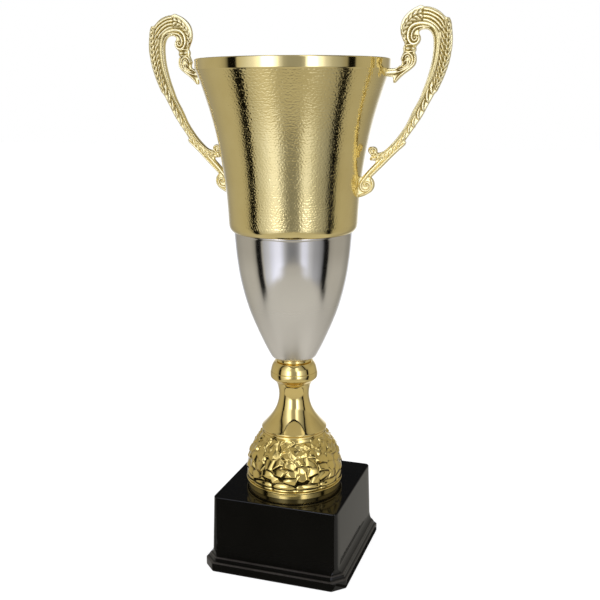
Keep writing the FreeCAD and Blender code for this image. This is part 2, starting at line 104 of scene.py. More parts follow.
def coords(nt, scale=(1, 1, 1)):
    tc = nt.nodes.new("ShaderNodeTexCoord")
    mp = nt.nodes.new("ShaderNodeMapping")
    mp.inputs["Scale"].default_value = scale
    nt.links.new(tc.outputs["Object"], mp.inputs["Vector"])
    return mp.outputs[0]


def polar(nt):
    """Angle about the axis of the trophy (radians), radius and height, all from object coordinates."""
    tc = nt.nodes.new("ShaderNodeTexCoord")
    sp = nt.nodes.new("ShaderNodeSeparateXYZ")
    nt.links.new(tc.outputs["Object"], sp.inputs[0])
    ang = math_node(nt, "ARCTAN2", sp.outputs[1], sp.outputs[0])
    rr = math_node(nt, "SQRT", math_node(nt, "ADD", math_node(nt, "MULTIPLY", sp.outputs[0], sp.outputs[0]),
                                         math_node(nt, "MULTIPLY", sp.outputs[1], sp.outputs[1])))
    return ang, rr, sp.outputs[2], sp


def combine(nt, x, y, z):
    c = nt.nodes.new("ShaderNodeCombineXYZ")
    for i, v in enumerate((x, y, z)):
        if isinstance(v, (int, float)):
            c.inputs[i].default_value = v
        else:
            nt.links.new(v, c.inputs[i])
    return c.outputs[0]


def noise(nt, vec, scale, detail=2.0, rough=0.5):
    n = nt.nodes.new("ShaderNodeTexNoise")
    n.inputs["Scale"].default_value = scale
    n.inputs["Detail"].default_value = detail
    n.inputs["Roughness"].default_value = rough
    nt.links.new(vec, n.inputs["Vector"])
    return n.outputs[0]


def remap(nt, v, a, b, c, d, smooth=False):
    n = nt.nodes.new("ShaderNodeMapRange")
    if smooth:
        n.interpolation_type = "SMOOTHSTEP"
    n.inputs["From Min"].default_value = a
    n.inputs["From Max"].default_value = b
    n.inputs["To Min"].default_value = c
    n.inputs["To Max"].default_value = d
    nt.links.new(v, n.inputs["Value"])
    return n.outputs["Result"]


def ramp(nt, fac, stops, interp="LINEAR"):
    n = nt.nodes.new("ShaderNodeValToRGB")
    cr_ = n.color_ramp
    cr_.interpolation = interp
    while len(cr_.elements) > 1:
        cr_.elements.remove(cr_.elements[-1])
    cr_.elements[0].position = stops[0][0]
    cr_.elements[0].color = tuple(stops[0][1]) + (1.0,)
    for pos, col in stops[1:]:
        e = cr_.elements.new(pos)
        e.color = tuple(col) + (1.0,)
    nt.links.new(fac, n.inputs[0])
    return n.outputs[0]


def bump(nt, height, dist, strength=1.0, prev=None):
    b = nt.nodes.new("ShaderNodeBump")
    b.inputs["Distance"].default_value = dist
    b.inputs["Strength"].default_value = strength
    nt.links.new(height, b.inputs["Height"])
    if prev is not None:
        nt.links.new(prev, b.inputs["Normal"])
    return b.outputs[0]


def mix_rgb(nt, fac, a, b):
    n = nt.nodes.new("ShaderNodeMix")
    n.data_type = "RGBA"
    if isinstance(fac, (int, float)):
        n.inputs[0].default_value = fac
    else:
        nt.links.new(fac, n.inputs[0])
    for sock, v in ((n.inputs[6], a), (n.inputs[7], b)):
        if isinstance(v, tuple):
            sock.default_value = v + (1.0,)
        else:
            nt.links.new(v, sock)
    return n.outputs[2]


GOLD = (0.815, 0.645, 0.255)
GOLD_DEEP = (0.775, 0.595, 0.215)
SILVER = (0.765, 0.736, 0.672)
CUP = (0.775, 0.642, 0.292)
CUP_DEEP = (0.740, 0.605, 0.262)


# ------------------------------------------------------------------ materials
def gold_polished(name, base=GOLD, deep=GOLD_DEEP, rough=(0.045, 0.085), wav=0.00001):
    """Bright plated gold: cloudy differences in tone and polish, and a very slight waviness of the plating."""
    mat, nt, b = new_mat(name)
    v = coords(nt)
    cloud = noise(nt, v, 38.0, 3.0, 0.55)
    tone = remap(nt, cloud, 0.35, 0.7, 0.0, 1.0)
    nt.links.new(mix_rgb(nt, tone, base, deep), b.inputs["Base Color"])
    fine = noise(nt, v, 900.0, 3.0, 0.6)
    polish = math_node(nt, "ADD", math_node(nt, "MULTIPLY", cloud, 0.6), math_node(nt, "MULTIPLY", fine, 0.4))
    nt.links.new(remap(nt, polish, 0.3, 0.7, rough[0], rough[1]), b.inputs["Roughness"])
    b.inputs["Metallic"].default_value = 1.0
    wave = noise(nt, v, 120.0, 2.0, 0.5)
    n1 = bump(nt, wave, wav, 1.0)
    n2 = bump(nt, fine, 0.0000015, 1.0, n1)
    nt.links.new(n2, b.inputs["Normal"])
    return mat


def gold_turned(name, base=GOLD, deep=GOLD_DEEP, rough=(0.06, 0.11)):
    """Gold spun on a lathe and polished: fine rings round the axis."""
    mat, nt, b = new_mat(name)
    ang, rr, z, _ = polar(nt)
    ringv = combine(nt, math_node(nt, "MULTIPLY", ang, 0.35), math_node(nt, "MULTIPLY", z, 1400.0), math_node(nt, "MULTIPLY", rr, 1400.0))
    rings = noise(nt, ringv, 1.0, 4.0, 0.65)
    v = coords(nt)
    cloud = noise(nt, v, 30.0, 3.0, 0.55)
    tone = remap(nt, cloud, 0.35, 0.7, 0.0, 1.0)
    nt.links.new(mix_rgb(nt, tone, base, deep), b.inputs["Base Color"])
    polish = math_node(nt, "ADD", math_node(nt, "MULTIPLY", rings, 0.6), math_node(nt, "MULTIPLY", cloud, 0.4))
    nt.links.new(remap(nt, polish, 0.3, 0.7, rough[0], rough[1]), b.inputs["Roughness"])
    b.inputs["Metallic"].default_value = 1.0
    nt.links.new(bump(nt, rings, 0.000002, 1.0), b.inputs["Normal"])
    return mat


DIMPLES = 144          # dimples round the cup
ROW = 2.3              # height of one row of dimples
WALL_LO, WALL_HI = 301.0, 427.3


def gold_stippled(name):
    """The cup's wall: staggered shallow dimples between plain edges, over fine turned rings."""
    mat, nt, b = new_mat(name)
    ang, rr, z, sp = polar(nt)
    u = math_node(nt, "MULTIPLY", ang, DIMPLES / (2 * math.pi))
    vrow = math_node(nt, "MULTIPLY", math_node(nt, "SUBTRACT", z, WALL_LO * MM), 1000.0 / ROW)
    row = math_node(nt, "FLOOR", vrow)
    shift = math_node(nt, "MULTIPLY", math_node(nt, "FLOORED_MODULO", row, 2.0), 0.5)
    wob = noise(nt, coords(nt), 60.0, 2.0, 0.5)
    uu = math_node(nt, "ADD", math_node(nt, "ADD", u, shift), math_node(nt, "MULTIPLY", wob, 0.9))
    cell = combine(nt, math_node(nt, "FLOOR", uu), row, 0.0)
    wn = nt.nodes.new("ShaderNodeTexWhiteNoise")
    nt.links.new(cell, wn.inputs["Vector"])
    wc = nt.nodes.new("ShaderNodeSeparateColor")
    nt.links.new(wn.outputs["Color"], wc.inputs[0])
    # every dimple sits a little off its place
    fu = math_node(nt, "SUBTRACT", math_node(nt, "FRACT", uu), remap(nt, wc.outputs[0], 0.0, 1.0, 0.34, 0.66))
    fv = math_node(nt, "SUBTRACT", math_node(nt, "FRACT", vrow), remap(nt, wc.outputs[1], 0.0, 1.0, 0.36, 0.64))
    d2 = math_node(nt, "ADD", math_node(nt, "MULTIPLY", fu, fu), math_node(nt, "MULTIPLY", fv, fv))
    dish = remap(nt, math_node(nt, "SQRT", d2), 0.0, 0.34, 0.0, 1.0, smooth=True)
    depth = remap(nt, wn.outputs[0], 0.0, 1.0, 0.25, 1.0)
    dish = math_node(nt, "SUBTRACT", 1.0, math_node(nt, "MULTIPLY", math_node(nt, "SUBTRACT", 1.0, dish), depth))
    inside = math_node(nt, "MULTIPLY", remap(nt, z, WALL_LO * MM - 0.0005, WALL_LO * MM + 0.0015, 0.0, 1.0),
                       remap(nt, z, WALL_HI * MM - 0.0006, WALL_HI * MM, 1.0, 0.0))
    # the inner wall is plain: the dimples are only where the normal looks outwards
    geo = nt.nodes.new("ShaderNodeNewGeometry")
    gs = nt.nodes.new("ShaderNodeSeparateXYZ")
    nt.links.new(geo.outputs["True Normal"], gs.inputs[0])
    outw = math_node(nt, "ADD", math_node(nt, "MULTIPLY", sp.outputs[0], gs.outputs[0]), math_node(nt, "MULTIPLY", sp.outputs[1], gs.outputs[1]))
    outw = math_node(nt, "GREATER_THAN", outw, 0.0)
    inside = math_node(nt, "MULTIPLY", inside, outw)
    dish = math_node(nt, "MULTIPLY", dish, inside)
    ringv = combine(nt, math_node(nt, "MULTIPLY", ang, 3.0), math_node(nt, "MULTIPLY", z, 900.0), math_node(nt, "MULTIPLY", rr, 10.0))
    rings = noise(nt, ringv, 1.0, 4.0, 0.65)
    cloud = noise(nt, coords(nt), 55.0, 3.0, 0.5)
    nt.links.new(mix_rgb(nt, remap(nt, cloud, 0.35, 0.7, 0.0, 1.0), CUP, CUP_DEEP), b.inputs["Base Color"])
    rough_in = remap(nt, rings, 0.3, 0.7, 0.028, 0.05)
    rough_out = remap(nt, cloud, 0.3, 0.7, 0.045, 0.08)
    rr_ = nt.nodes.new("ShaderNodeMix")
    nt.links.new(inside, rr_.inputs[0])
    nt.links.new(rough_out, rr_.inputs[2])
    nt.links.new(rough_in, rr_.inputs[3])
    nt.links.new(rr_.outputs[0], b.inputs["Roughness"])
    b.inputs["Metallic"].default_value = 1.0
    n1 = bump(nt, dish, 0.000046, 1.0)
    # short slanting strokes of the tool, finer than the dimples
    strokes = noise(nt, combine(nt, math_node(nt, "ADD", math_node(nt, "MULTIPLY", ang, 33.0), math_node(nt, "MULTIPLY", z, 270.0)),
                                math_node(nt, "SUBTRACT", math_node(nt, "MULTIPLY", z, 680.0), math_node(nt, "MULTIPLY", ang, 13.0)), 0.0), 1.0, 1.0, 0.5)
    soft = math_node(nt, "MULTIPLY", strokes, inside)
    n2 = bump(nt, soft, 0.000105, 1.0, n1)
    dash = noise(nt, combine(nt, math_node(nt, "MULTIPLY", uu, 0.9), math_node(nt, "MULTIPLY", vrow, 1.9), 3.0), 1.0, 0.0, 0.5)
    n2 = bump(nt, math_node(nt, "MULTIPLY", dash, inside), 0.00005, 1.0, n2)
    turned = math_node(nt, "MULTIPLY", rings, inside)
    n3 = bump(nt, turned, 0.000004, 1.0, n2)
    nt.links.new(n3, b.inputs["Normal"])
    return mat


def silver_satin(name):
    """Satin silver, spun: fine rings and a soft broad sheen."""
    mat, nt, b = new_mat(name)
    ang, rr, z, _ = polar(nt)
    ringv = combine(nt, math_node(nt, "MULTIPLY", ang, 0.4), math_node(nt, "MULTIPLY", z, 1700.0), math_node(nt, "MULTIPLY", rr, 300.0))
    rings = noise(nt, ringv, 1.0, 5.0, 0.7)
    cloud = noise(nt, coords(nt), 26.0, 3.0, 0.55)
    tone = mix_rgb(nt, remap(nt, cloud, 0.3, 0.7, 0.0, 1.0), SILVER, (0.735, 0.708, 0.648))
    # painted shade: the colour darkens towards the top of the bowl (262 to 284 mm); painted highlight: it grows lighter
    # towards the foot (235 down to 190 mm)
    top_painted_shade = mix_rgb(nt, remap(nt, cloud, 0.3, 0.7, 0.0, 1.0), (0.635, 0.606, 0.545), (0.612, 0.584, 0.525))
    tone = mix_rgb(nt, remap(nt, z, 0.235, 0.190, 0.0, 1.0, smooth=True), tone, (0.850, 0.822, 0.760))
    nt.links.new(mix_rgb(nt, remap(nt, z, 0.262, 0.284, 0.0, 1.0, smooth=True), tone, top_painted_shade), b.inputs["Base Color"])
    polish = math_node(nt, "ADD", math_node(nt, "MULTIPLY", rings, 0.65), math_node(nt, "MULTIPLY", cloud, 0.35))
    satin = remap(nt, z, 0.262, 0.215, 0.0, 0.24, smooth=True)
    nt.links.new(math_node(nt, "ADD", remap(nt, polish, 0.3, 0.7, 0.075, 0.135), satin), b.inputs["Roughness"])
    b.inputs["Metallic"].default_value = 1.0
    nt.links.new(bump(nt, rings, 0.000003, 1.0), b.inputs["Normal"])
    return mat


def gold_cast(name, recess_shade, mid, ridge_highlight, rough=(0.30, 0.15)):
    """Cast relief under gold plating: rougher and in painted dark brown shade in the recesses, smoother and with a
    painted pale highlight on the ridges.
    'relief' is a value kept at every vertex: below zero in the hollows, above zero on the crests."""
    mat, nt, b = new_mat(name)
    at = nt.nodes.new("ShaderNodeAttribute")
    at.attribute_name = "relief"
    v = coords(nt)
    cloud = noise(nt, v, 60.0, 3.0, 0.55)
    fine = noise(nt, v, 1300.0, 3.0, 0.6)
    lift = math_node(nt, "ADD", at.outputs["Fac"], math_node(nt, "MULTIPLY", math_node(nt, "SUBTRACT", cloud, 0.5), 0.35))
    # painted shade: low lift mixes towards the dark recess colour; painted highlight: high lift mixes towards the pale
    # ridge colour
    low = remap(nt, lift, -0.84, -0.26, 0.0, 1.0, smooth=True)
    high = remap(nt, lift, 0.05, 0.8, 0.0, 1.0, smooth=True)
    # painted shade: where 'plain' is set, on the front faces of the smooth band, the colour is mixed towards a darker
    # olive
    pl = nt.nodes.new("ShaderNodeAttribute")
    pl.attribute_name = "plain"
    tone = mix_rgb(nt, high, mix_rgb(nt, low, recess_shade, mid), ridge_highlight)
    nt.links.new(mix_rgb(nt, math_node(nt, "MULTIPLY", pl.outputs["Fac"], 0.85), tone, (0.56, 0.465, 0.205)), b.inputs["Base Color"])
    r = math_node(nt, "ADD", remap(nt, lift, -0.6, 0.6, rough[0], rough[1]), math_node(nt, "MULTIPLY", math_node(nt, "SUBTRACT", fine, 0.5), 0.06))
    nt.links.new(r, b.inputs["Roughness"])
    b.inputs["Metallic"].default_value = 1.0
    n1 = bump(nt, cloud, 0.00002, 1.0)
    nt.links.new(bump(nt, fine, 0.000003, 1.0, n1), b.inputs["Normal"])
    return mat


def black_gloss(name):
    """Glossy moulded black plastic with a hint of flow marks, fine dust scratches and painted highlight lines along two
    eased edges of the skirt.
    """
    mat, nt, b = new_mat(name)
    v = coords(nt)
    cloud = noise(nt, v, 22.0, 3.0, 0.55)
    _, _, pz, _ = polar(nt)

    def line(z0, half):
        return remap(nt, math_node(nt, "ABSOLUTE", math_node(nt, "SUBTRACT", pz, z0)), half * 0.35, half, 1.0, 0.0, smooth=True)

    # painted highlight: lighter, also rougher, lines at 8.45 and 12.2 mm height along the eased edges of the skirt
    edge_highlight = math_node(nt, "MAXIMUM", line(0.00845, 0.00075), math_node(nt, "MULTIPLY", line(0.0122, 0.0008), 0.8))
    edge_highlight = math_node(nt, "MULTIPLY", edge_highlight, remap(nt, noise(nt, v, 60.0, 3.0, 0.6), 0.25, 0.75, 0.6, 1.0))
    black = mix_rgb(nt, remap(nt, cloud, 0.3, 0.7, 0.0, 1.0), (0.0040, 0.0037, 0.0027), (0.0052, 0.0048, 0.0036))
    nt.links.new(mix_rgb(nt, edge_highlight, black, (0.060, 0.052, 0.043)), b.inputs["Base Color"])
    scr = noise(nt, coords(nt, (240.0, 1900.0, 1900.0)), 1.0, 4.0, 0.7)
    nt.links.new(math_node(nt, "ADD", remap(nt, scr, 0.35, 0.75, 0.045, 0.12), math_node(nt, "MULTIPLY", edge_highlight, 0.22)), b.inputs["Roughness"])
    b.inputs["IOR"].default_value = 1.37
    peel = noise(nt, v, 260.0, 2.0, 0.5)
    nt.links.new(bump(nt, peel, 0.000008, 1.0), b.inputs["Normal"])
    return mat


def felt_mat(name):
    mat, nt, b = new_mat(name)
    v = coords(nt)
    fib = noise(nt, coords(nt, (900.0, 2400.0, 1600.0)), 1.0, 5.0, 0.75)
    tuft = noise(nt, v, 420.0, 4.0, 0.7)
    nt.links.new(mix_rgb(nt, tuft, (0.010, 0.010, 0.011), (0.045, 0.044, 0.046)), b.inputs["Base Color"])
    b.inputs["Roughness"].default_value = 0.95
    b.inputs["Sheen Weight"].default_value = 0.35
    b.inputs["Sheen Roughness"].default_value = 0.5
    h = math_node(nt, "ADD", math_node(nt, "MULTIPLY", fib, 0.6), math_node(nt, "MULTIPLY", tuft, 0.4))
    nt.links.new(bump(nt, h, 0.0003, 0.8), b.inputs["Normal"])
    return mat


def zinc_mat(name):
    """Zinc-plated steel fasteners: bluish grey with fine crystals and turned marks."""
    mat, nt, b = new_mat(name)
    v = coords(nt)
    vor = nt.nodes.new("ShaderNodeTexVoronoi")
    vor.inputs["Scale"].default_value = 900.0
    nt.links.new(v, vor.inputs["Vector"])
    cloud = noise(nt, v, 160.0, 3.0, 0.6)
    nt.links.new(mix_rgb(nt, cloud, (0.50, 0.52, 0.55), (0.66, 0.67, 0.68)), b.inputs["Base Color"])
    nt.links.new(remap(nt, vor.outputs["Distance"], 0.0, 0.7, 0.24, 0.42), b.inputs["Roughness"])
    b.inputs["Metallic"].default_value = 1.0
    nt.links.new(bump(nt, vor.outputs["Distance"], 0.00001, 0.5), b.inputs["Normal"])
    return mat


def cast_mat(name):
    """Grey cast weight with a sandy surface."""
    mat, nt, b = new_mat(name)
    v = coords(nt)
    sand = noise(nt, v, 700.0, 4.0, 0.7)
    big = noise(nt, v, 60.0, 3.0, 0.5)
    nt.links.new(mix_rgb(nt, big, (0.16, 0.16, 0.16), (0.26, 0.25, 0.24)), b.inputs["Base Color"])
    nt.links.new(remap(nt, sand, 0.3, 0.7, 0.5, 0.75), b.inputs["Roughness"])
    b.inputs["Metallic"].default_value = 1.0
    nt.links.new(bump(nt, sand, 0.0001, 0.7), b.inputs["Normal"])
    return mat


M_CUP = gold_stippled("gold_stippled_wall")
M_GOLD = gold_polished("gold_plated_plastic")
M_TURN = gold_turned("gold_turned")
M_DOME = gold_polished("gold_plated_relief", (0.745, 0.575, 0.195), (0.695, 0.520, 0.155), (0.085, 0.14), 0.000016)
# the first colour is painted shade for the recesses, the third a painted highlight for the ridges
M_HANDLE = gold_cast("gold_plated_casting", (0.20, 0.14, 0.034), (0.94, 0.815, 0.425), (0.97, 0.875, 0.545), (0.46, 0.33))
M_SILVER = silver_satin("silver_satin")
M_BLACK = black_gloss("black_gloss_plastic")
M_FELT = felt_mat("black_felt")
M_ZINC = zinc_mat("zinc_plated_steel")
M_CAST = cast_mat("cast_weight")


# ------------------------------------------------------------------ mesh helpers
def add_mesh(name, verts, faces, mat, nodes=(), smooth=True):
    me = bpy.data.meshes.new(name)
    v = (np.asarray(verts, float) * MM).tolist()
    f = []
    for part in faces:
        f.extend(part if isinstance(part, list) else part.tolist())
    me.from_pydata(v, [], f)
    me.update()
    # outward orientation by signed volume
    co = np.empty(len(me.vertices) * 3)
    me.vertices.foreach_get("co", co)
    co = co.reshape(-1, 3)
    me.calc_loop_triangles()
    tri = np.empty(len(me.loop_triangles) * 3, dtype=np.int32)
    me.loop_triangles.foreach_get("vertices", tri)
    tri = tri.reshape(-1, 3)
    vol = np.einsum("ij,ij->i", co[tri[:, 0]], np.cross(co[tri[:, 1]], co[tri[:, 2]])).sum() / 6
    if vol < 0:
        me.flip_normals()
    me.polygons.foreach_set("use_smooth", [smooth] * len(me.polygons))
    me.materials.append(mat)
    ob = bpy.data.objects.new(name, me)
    bpy.context.scene.collection.objects.link(ob)
    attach(ob, "root")
    if nodes:
        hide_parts(*nodes)
    return ob


def natural_spline(pts, step):
    """Cubic through the points (chord-length parameter, natural ends), sampled about every step."""
    p = np.asarray(pts, float)
    t = np.concatenate([[0], np.cumsum(np.hypot(*np.diff(p, axis=0).T))])
    n = len(t)
    out = []
    ts = np.linspace(0, t[-1], max(2, int(math.ceil(t[-1] / step)) + 1))
    h = np.diff(t)
    for k in range(p.shape[1]):
        y = p[:, k]
        A = np.zeros((n, n))
        r = np.zeros(n)
        A[0, 0] = A[-1, -1] = 1
        for i in range(1, n - 1):
            A[i, i - 1], A[i, i], A[i, i + 1] = h[i - 1], 2 * (h[i - 1] + h[i]), h[i]
            r[i] = 6 * ((y[i + 1] - y[i]) / h[i] - (y[i] - y[i - 1]) / h[i - 1])
        M = np.linalg.solve(A, r)
        i = np.clip(np.searchsorted(t, ts, side="right") - 1, 0, n - 2)
        dt = ts - t[i]
        a = (M[i + 1] - M[i]) / (6 * h[i])
        bb = M[i] / 2
        c = (y[i + 1] - y[i]) / h[i] - h[i] * (2 * M[i] + M[i + 1]) / 6
        out.append(y[i] + dt * (c + dt * (bb + dt * a)))
    return np.stack(out, 1)


def straight(a, b, step):
    a, b = np.asarray(a, float), np.asarray(b, float)
    n = max(1, int(math.ceil(np.hypot(*(b - a)) / step)))
    return a + (b - a) * np.linspace(0, 1, n + 1)[:, None]


def path(runs, step):
    """Consecutive runs of points: 2 points make a line, more a smooth curve."""
    pts = [np.asarray(runs[0][0], float)[None]]
    for r in runs:
        s = straight(r[0], r[1], step) if len(r) == 2 else natural_spline(r, step)
        pts.append(s[1:])
    return np.concatenate(pts)


def soften(loop, r, ang=22.0, n=4, closed=True):
    """Rounds each corner of a loop sharper than ang degrees."""
    P = np.asarray(loop, float)
    if np.allclose(P[0], P[-1]):
        P = P[:-1]
    m_ = len(P)
    d = np.roll(P, -1, 0) - P
    L = np.hypot(d[:, 0], d[:, 1])
    u = d / L[:, None]
    prev = np.roll(u, 1, 0)
    turn = np.degrees(np.arccos(np.clip((u * prev).sum(1), -1, 1)))
    corner = turn > ang
    if not closed:
        corner[0] = corner[-1] = False
    s = np.concatenate([[0], np.cumsum(L)])
    tot = s[-1]
    cs = s[:-1][corner]
    if len(cs) == 0:
        return P

    def at(x):
        x = x % tot
        i = min(np.searchsorted(s, x, side="right") - 1, m_ - 1)
        return P[i] + u[i] * (x - s[i])

    gaps_next = (np.roll(cs, -1) - cs) % tot
    gaps_next[gaps_next == 0] = tot
    gaps_prev = np.roll(gaps_next, 1)
    rad = np.minimum(r, 0.42 * np.minimum(gaps_next, gaps_prev))
    out = []
    drop = np.zeros(m_, bool)
    ins = {}
    for c, rr_ in zip(cs, rad):
        dist = np.abs((s[:-1] - c + tot / 2) % tot - tot / 2)
        drop |= dist < rr_ * 1.02
        a, b_, cc = at(c - rr_), at(c), at(c + rr_)
        t = np.linspace(0, 1, n + 1)[:, None]
        ins[c] = (1 - t) ** 2 * a + 2 * t * (1 - t) * b_ + t ** 2 * cc
    events = [(x, None, i) for i, x in enumerate(s[:-1]) if not drop[i]] + [(c, ins[c], None) for c in ins]
    events.sort(key=lambda e: e[0])
    for x, arr, i in events:
        if arr is None:
            out.append(P[i][None])
        else:
            out.append(arr)
    return np.concatenate(out)


def ring_faces(m_, n_, closed_profile=True):
    i = np.arange(m_ if closed_profile else m_ - 1)[:, None]
    j = np.arange(n_)[None, :]
    i2, j2 = (i + 1) % m_, (j + 1) % n_
    return np.stack([i * n_ + j, i * n_ + j2, i2 * n_ + j2, i2 * n_ + j], -1).reshape(-1, 4)


def lathe(name, loop, mat, nodes, seg=192, round_r=0.3):
    P = soften(loop, round_r)
    th = np.arange(seg) * 2 * math.pi / seg
    V = np.stack([P[:, 0, None] * np.cos(th), P[:, 0, None] * np.sin(th), P[:, 1, None] + 0 * th], -1).reshape(-1, 3)
    return add_mesh(name, V, [ring_faces(len(P), seg)], mat, nodes)


def inset(pts, t):
    p = np.asarray(pts, float)
    d = np.zeros_like(p)
    d[1:-1] = p[2:] - p[:-2]
    d[0] = p[1] - p[0]
    d[-1] = p[-1] - p[-2]
    nrm = np.stack([d[:, 1], -d[:, 0]], 1) / np.hypot(d[:, 0], d[:, 1])[:, None]
    nrm[nrm[:, 0] < 0] *= -1
    return p - nrm * t


# ------------------------------------------------------------------ bell and stem
bell_out = [(28.24, 120.9), (26.9, 122.3), (23.93, 125.6), (22.07, 127.8), (18.76, 132.3), (16.29, 136.7), (14.71, 140.9),
            (13.76, 144.9), (13.3, 148.8), (13.42, 152.8), (14.1, 156.7), (15.0, 159.6), (16.4, 162.0)]
bell_in = [(24.3, 120.1), (22.2, 123.6), (19.4, 127.0), (15.6, 131.6), (12.8, 136.4), (11.0, 141.0), (10.2, 146.0)]
bell = path([
    [(24.3, 116.5), (27.9, 116.5)],
    [(27.9, 116.5), (27.55, 117.3), (27.65, 118.2), (28.2, 118.9)],
    [(28.2, 118.9), (28.7, 119.15), (28.85, 119.8), (28.7, 120.45), (28.2, 120.9)],
    bell_out,
    [(16.4, 162.0), (3.3, 162.0)],
    [(3.3, 162.0), (3.3, 146.0)],
    [(3.3, 146.0), (10.2, 146.0)],
    bell_in[::-1],
    [(24.3, 120.1), (24.3, 116.5)],
], 0.9)
lathe("bell_and_stem", bell, M_GOLD, ["bell_stem"], 192, 0.25)

# ------------------------------------------------------------------ collar
collar = path([
    [(3.3, 162.0), (16.4, 162.0)],
    [(16.4, 162.0), (19.7, 165.0)],
    [(19.7, 165.0), (20.45, 165.9), (20.75, 167.4), (20.72, 169.8), (20.55, 171.1)],
    [(20.55, 171.1), (20.1, 171.35)],
    [(20.1, 171.35), (20.3, 171.7)],
    [(20.3, 171.7), (19.75, 174.4), (18.95, 176.9), (17.8, 178.9), (16.9, 180.1)],
    [(16.9, 180.1), (3.3, 180.1)],
    [(3.3, 180.1), (3.3, 162.0)],
], 0.8)
lathe("turned_collar", collar, M_TURN, ["stem_collar"], 160, 0.22)

seat = path([
    [(3.3, 180.1), (15.0, 180.1)],
    [(15.0, 180.1), (15.45, 180.8), (15.6, 181.7), (15.45, 182.6), (15.0, 183.3)],
    [(15.0, 183.3), (3.3, 183.3)],
    [(3.3, 183.3), (3.3, 180.1)],
], 0.5)
lathe("bowl_seat", seat, M_TURN, ["bowl_seat_ring"], 128, 0.2)

# ------------------------------------------------------------------ silver bowl
bowl_out = [(20.6, 187.4), (22.3, 190.6), (25.9, 197.9), (29.2, 205.2), (32.35, 212.5), (35.3, 219.7), (38.0, 226.8), (40.3, 233.9),
            (42.35, 240.9), (44.1, 247.9), (45.6, 254.9), (46.8, 261.8), (47.75, 268.8), (48.4, 274.0), (48.9, 279.0), (49.35, 284.2),
            (49.75, 289.4), (50.2, 294.0)]
bowl_in = inset(bowl_out, 0.9)
bowl_in[-1] = (49.0, 295.3)
bowl = path([
    [(3.3, 183.3), (16.2, 183.3)],
    [(16.2, 183.3), (17.9, 184.0), (19.4, 185.4), (20.6, 187.4)],
    bowl_out,
    [(50.2, 294.0), (50.45, 294.7), (50.4, 295.3)],
    [(50.4, 295.3), (49.0, 295.3)],
    list(map(tuple, bowl_in[::-1][::2])) + ([tuple(bowl_in[0])] if len(bowl_in) % 2 == 0 else []),
    [tuple(bowl_in[0]), (18.2, 185.6), (16.8, 184.6), (15.6, 184.2)],
    [(15.6, 184.2), (3.3, 184.2)],
    [(3.3, 184.2), (3.3, 183.3)],
], 1.3)
lathe("silver_bowl", bowl, M_SILVER, ["lower_bowl"], 192, 0.3)

# ------------------------------------------------------------------ gold cup
cup_out = [(54.3, 300.2), (54.55, 302.0), (55.05, 311.5), (55.72, 321.7), (57.75, 341.0), (61.05, 362.0), (65.05, 381.1), (69.2, 396.6),
           (73.4, 410.0), (79.3, 427.1)]


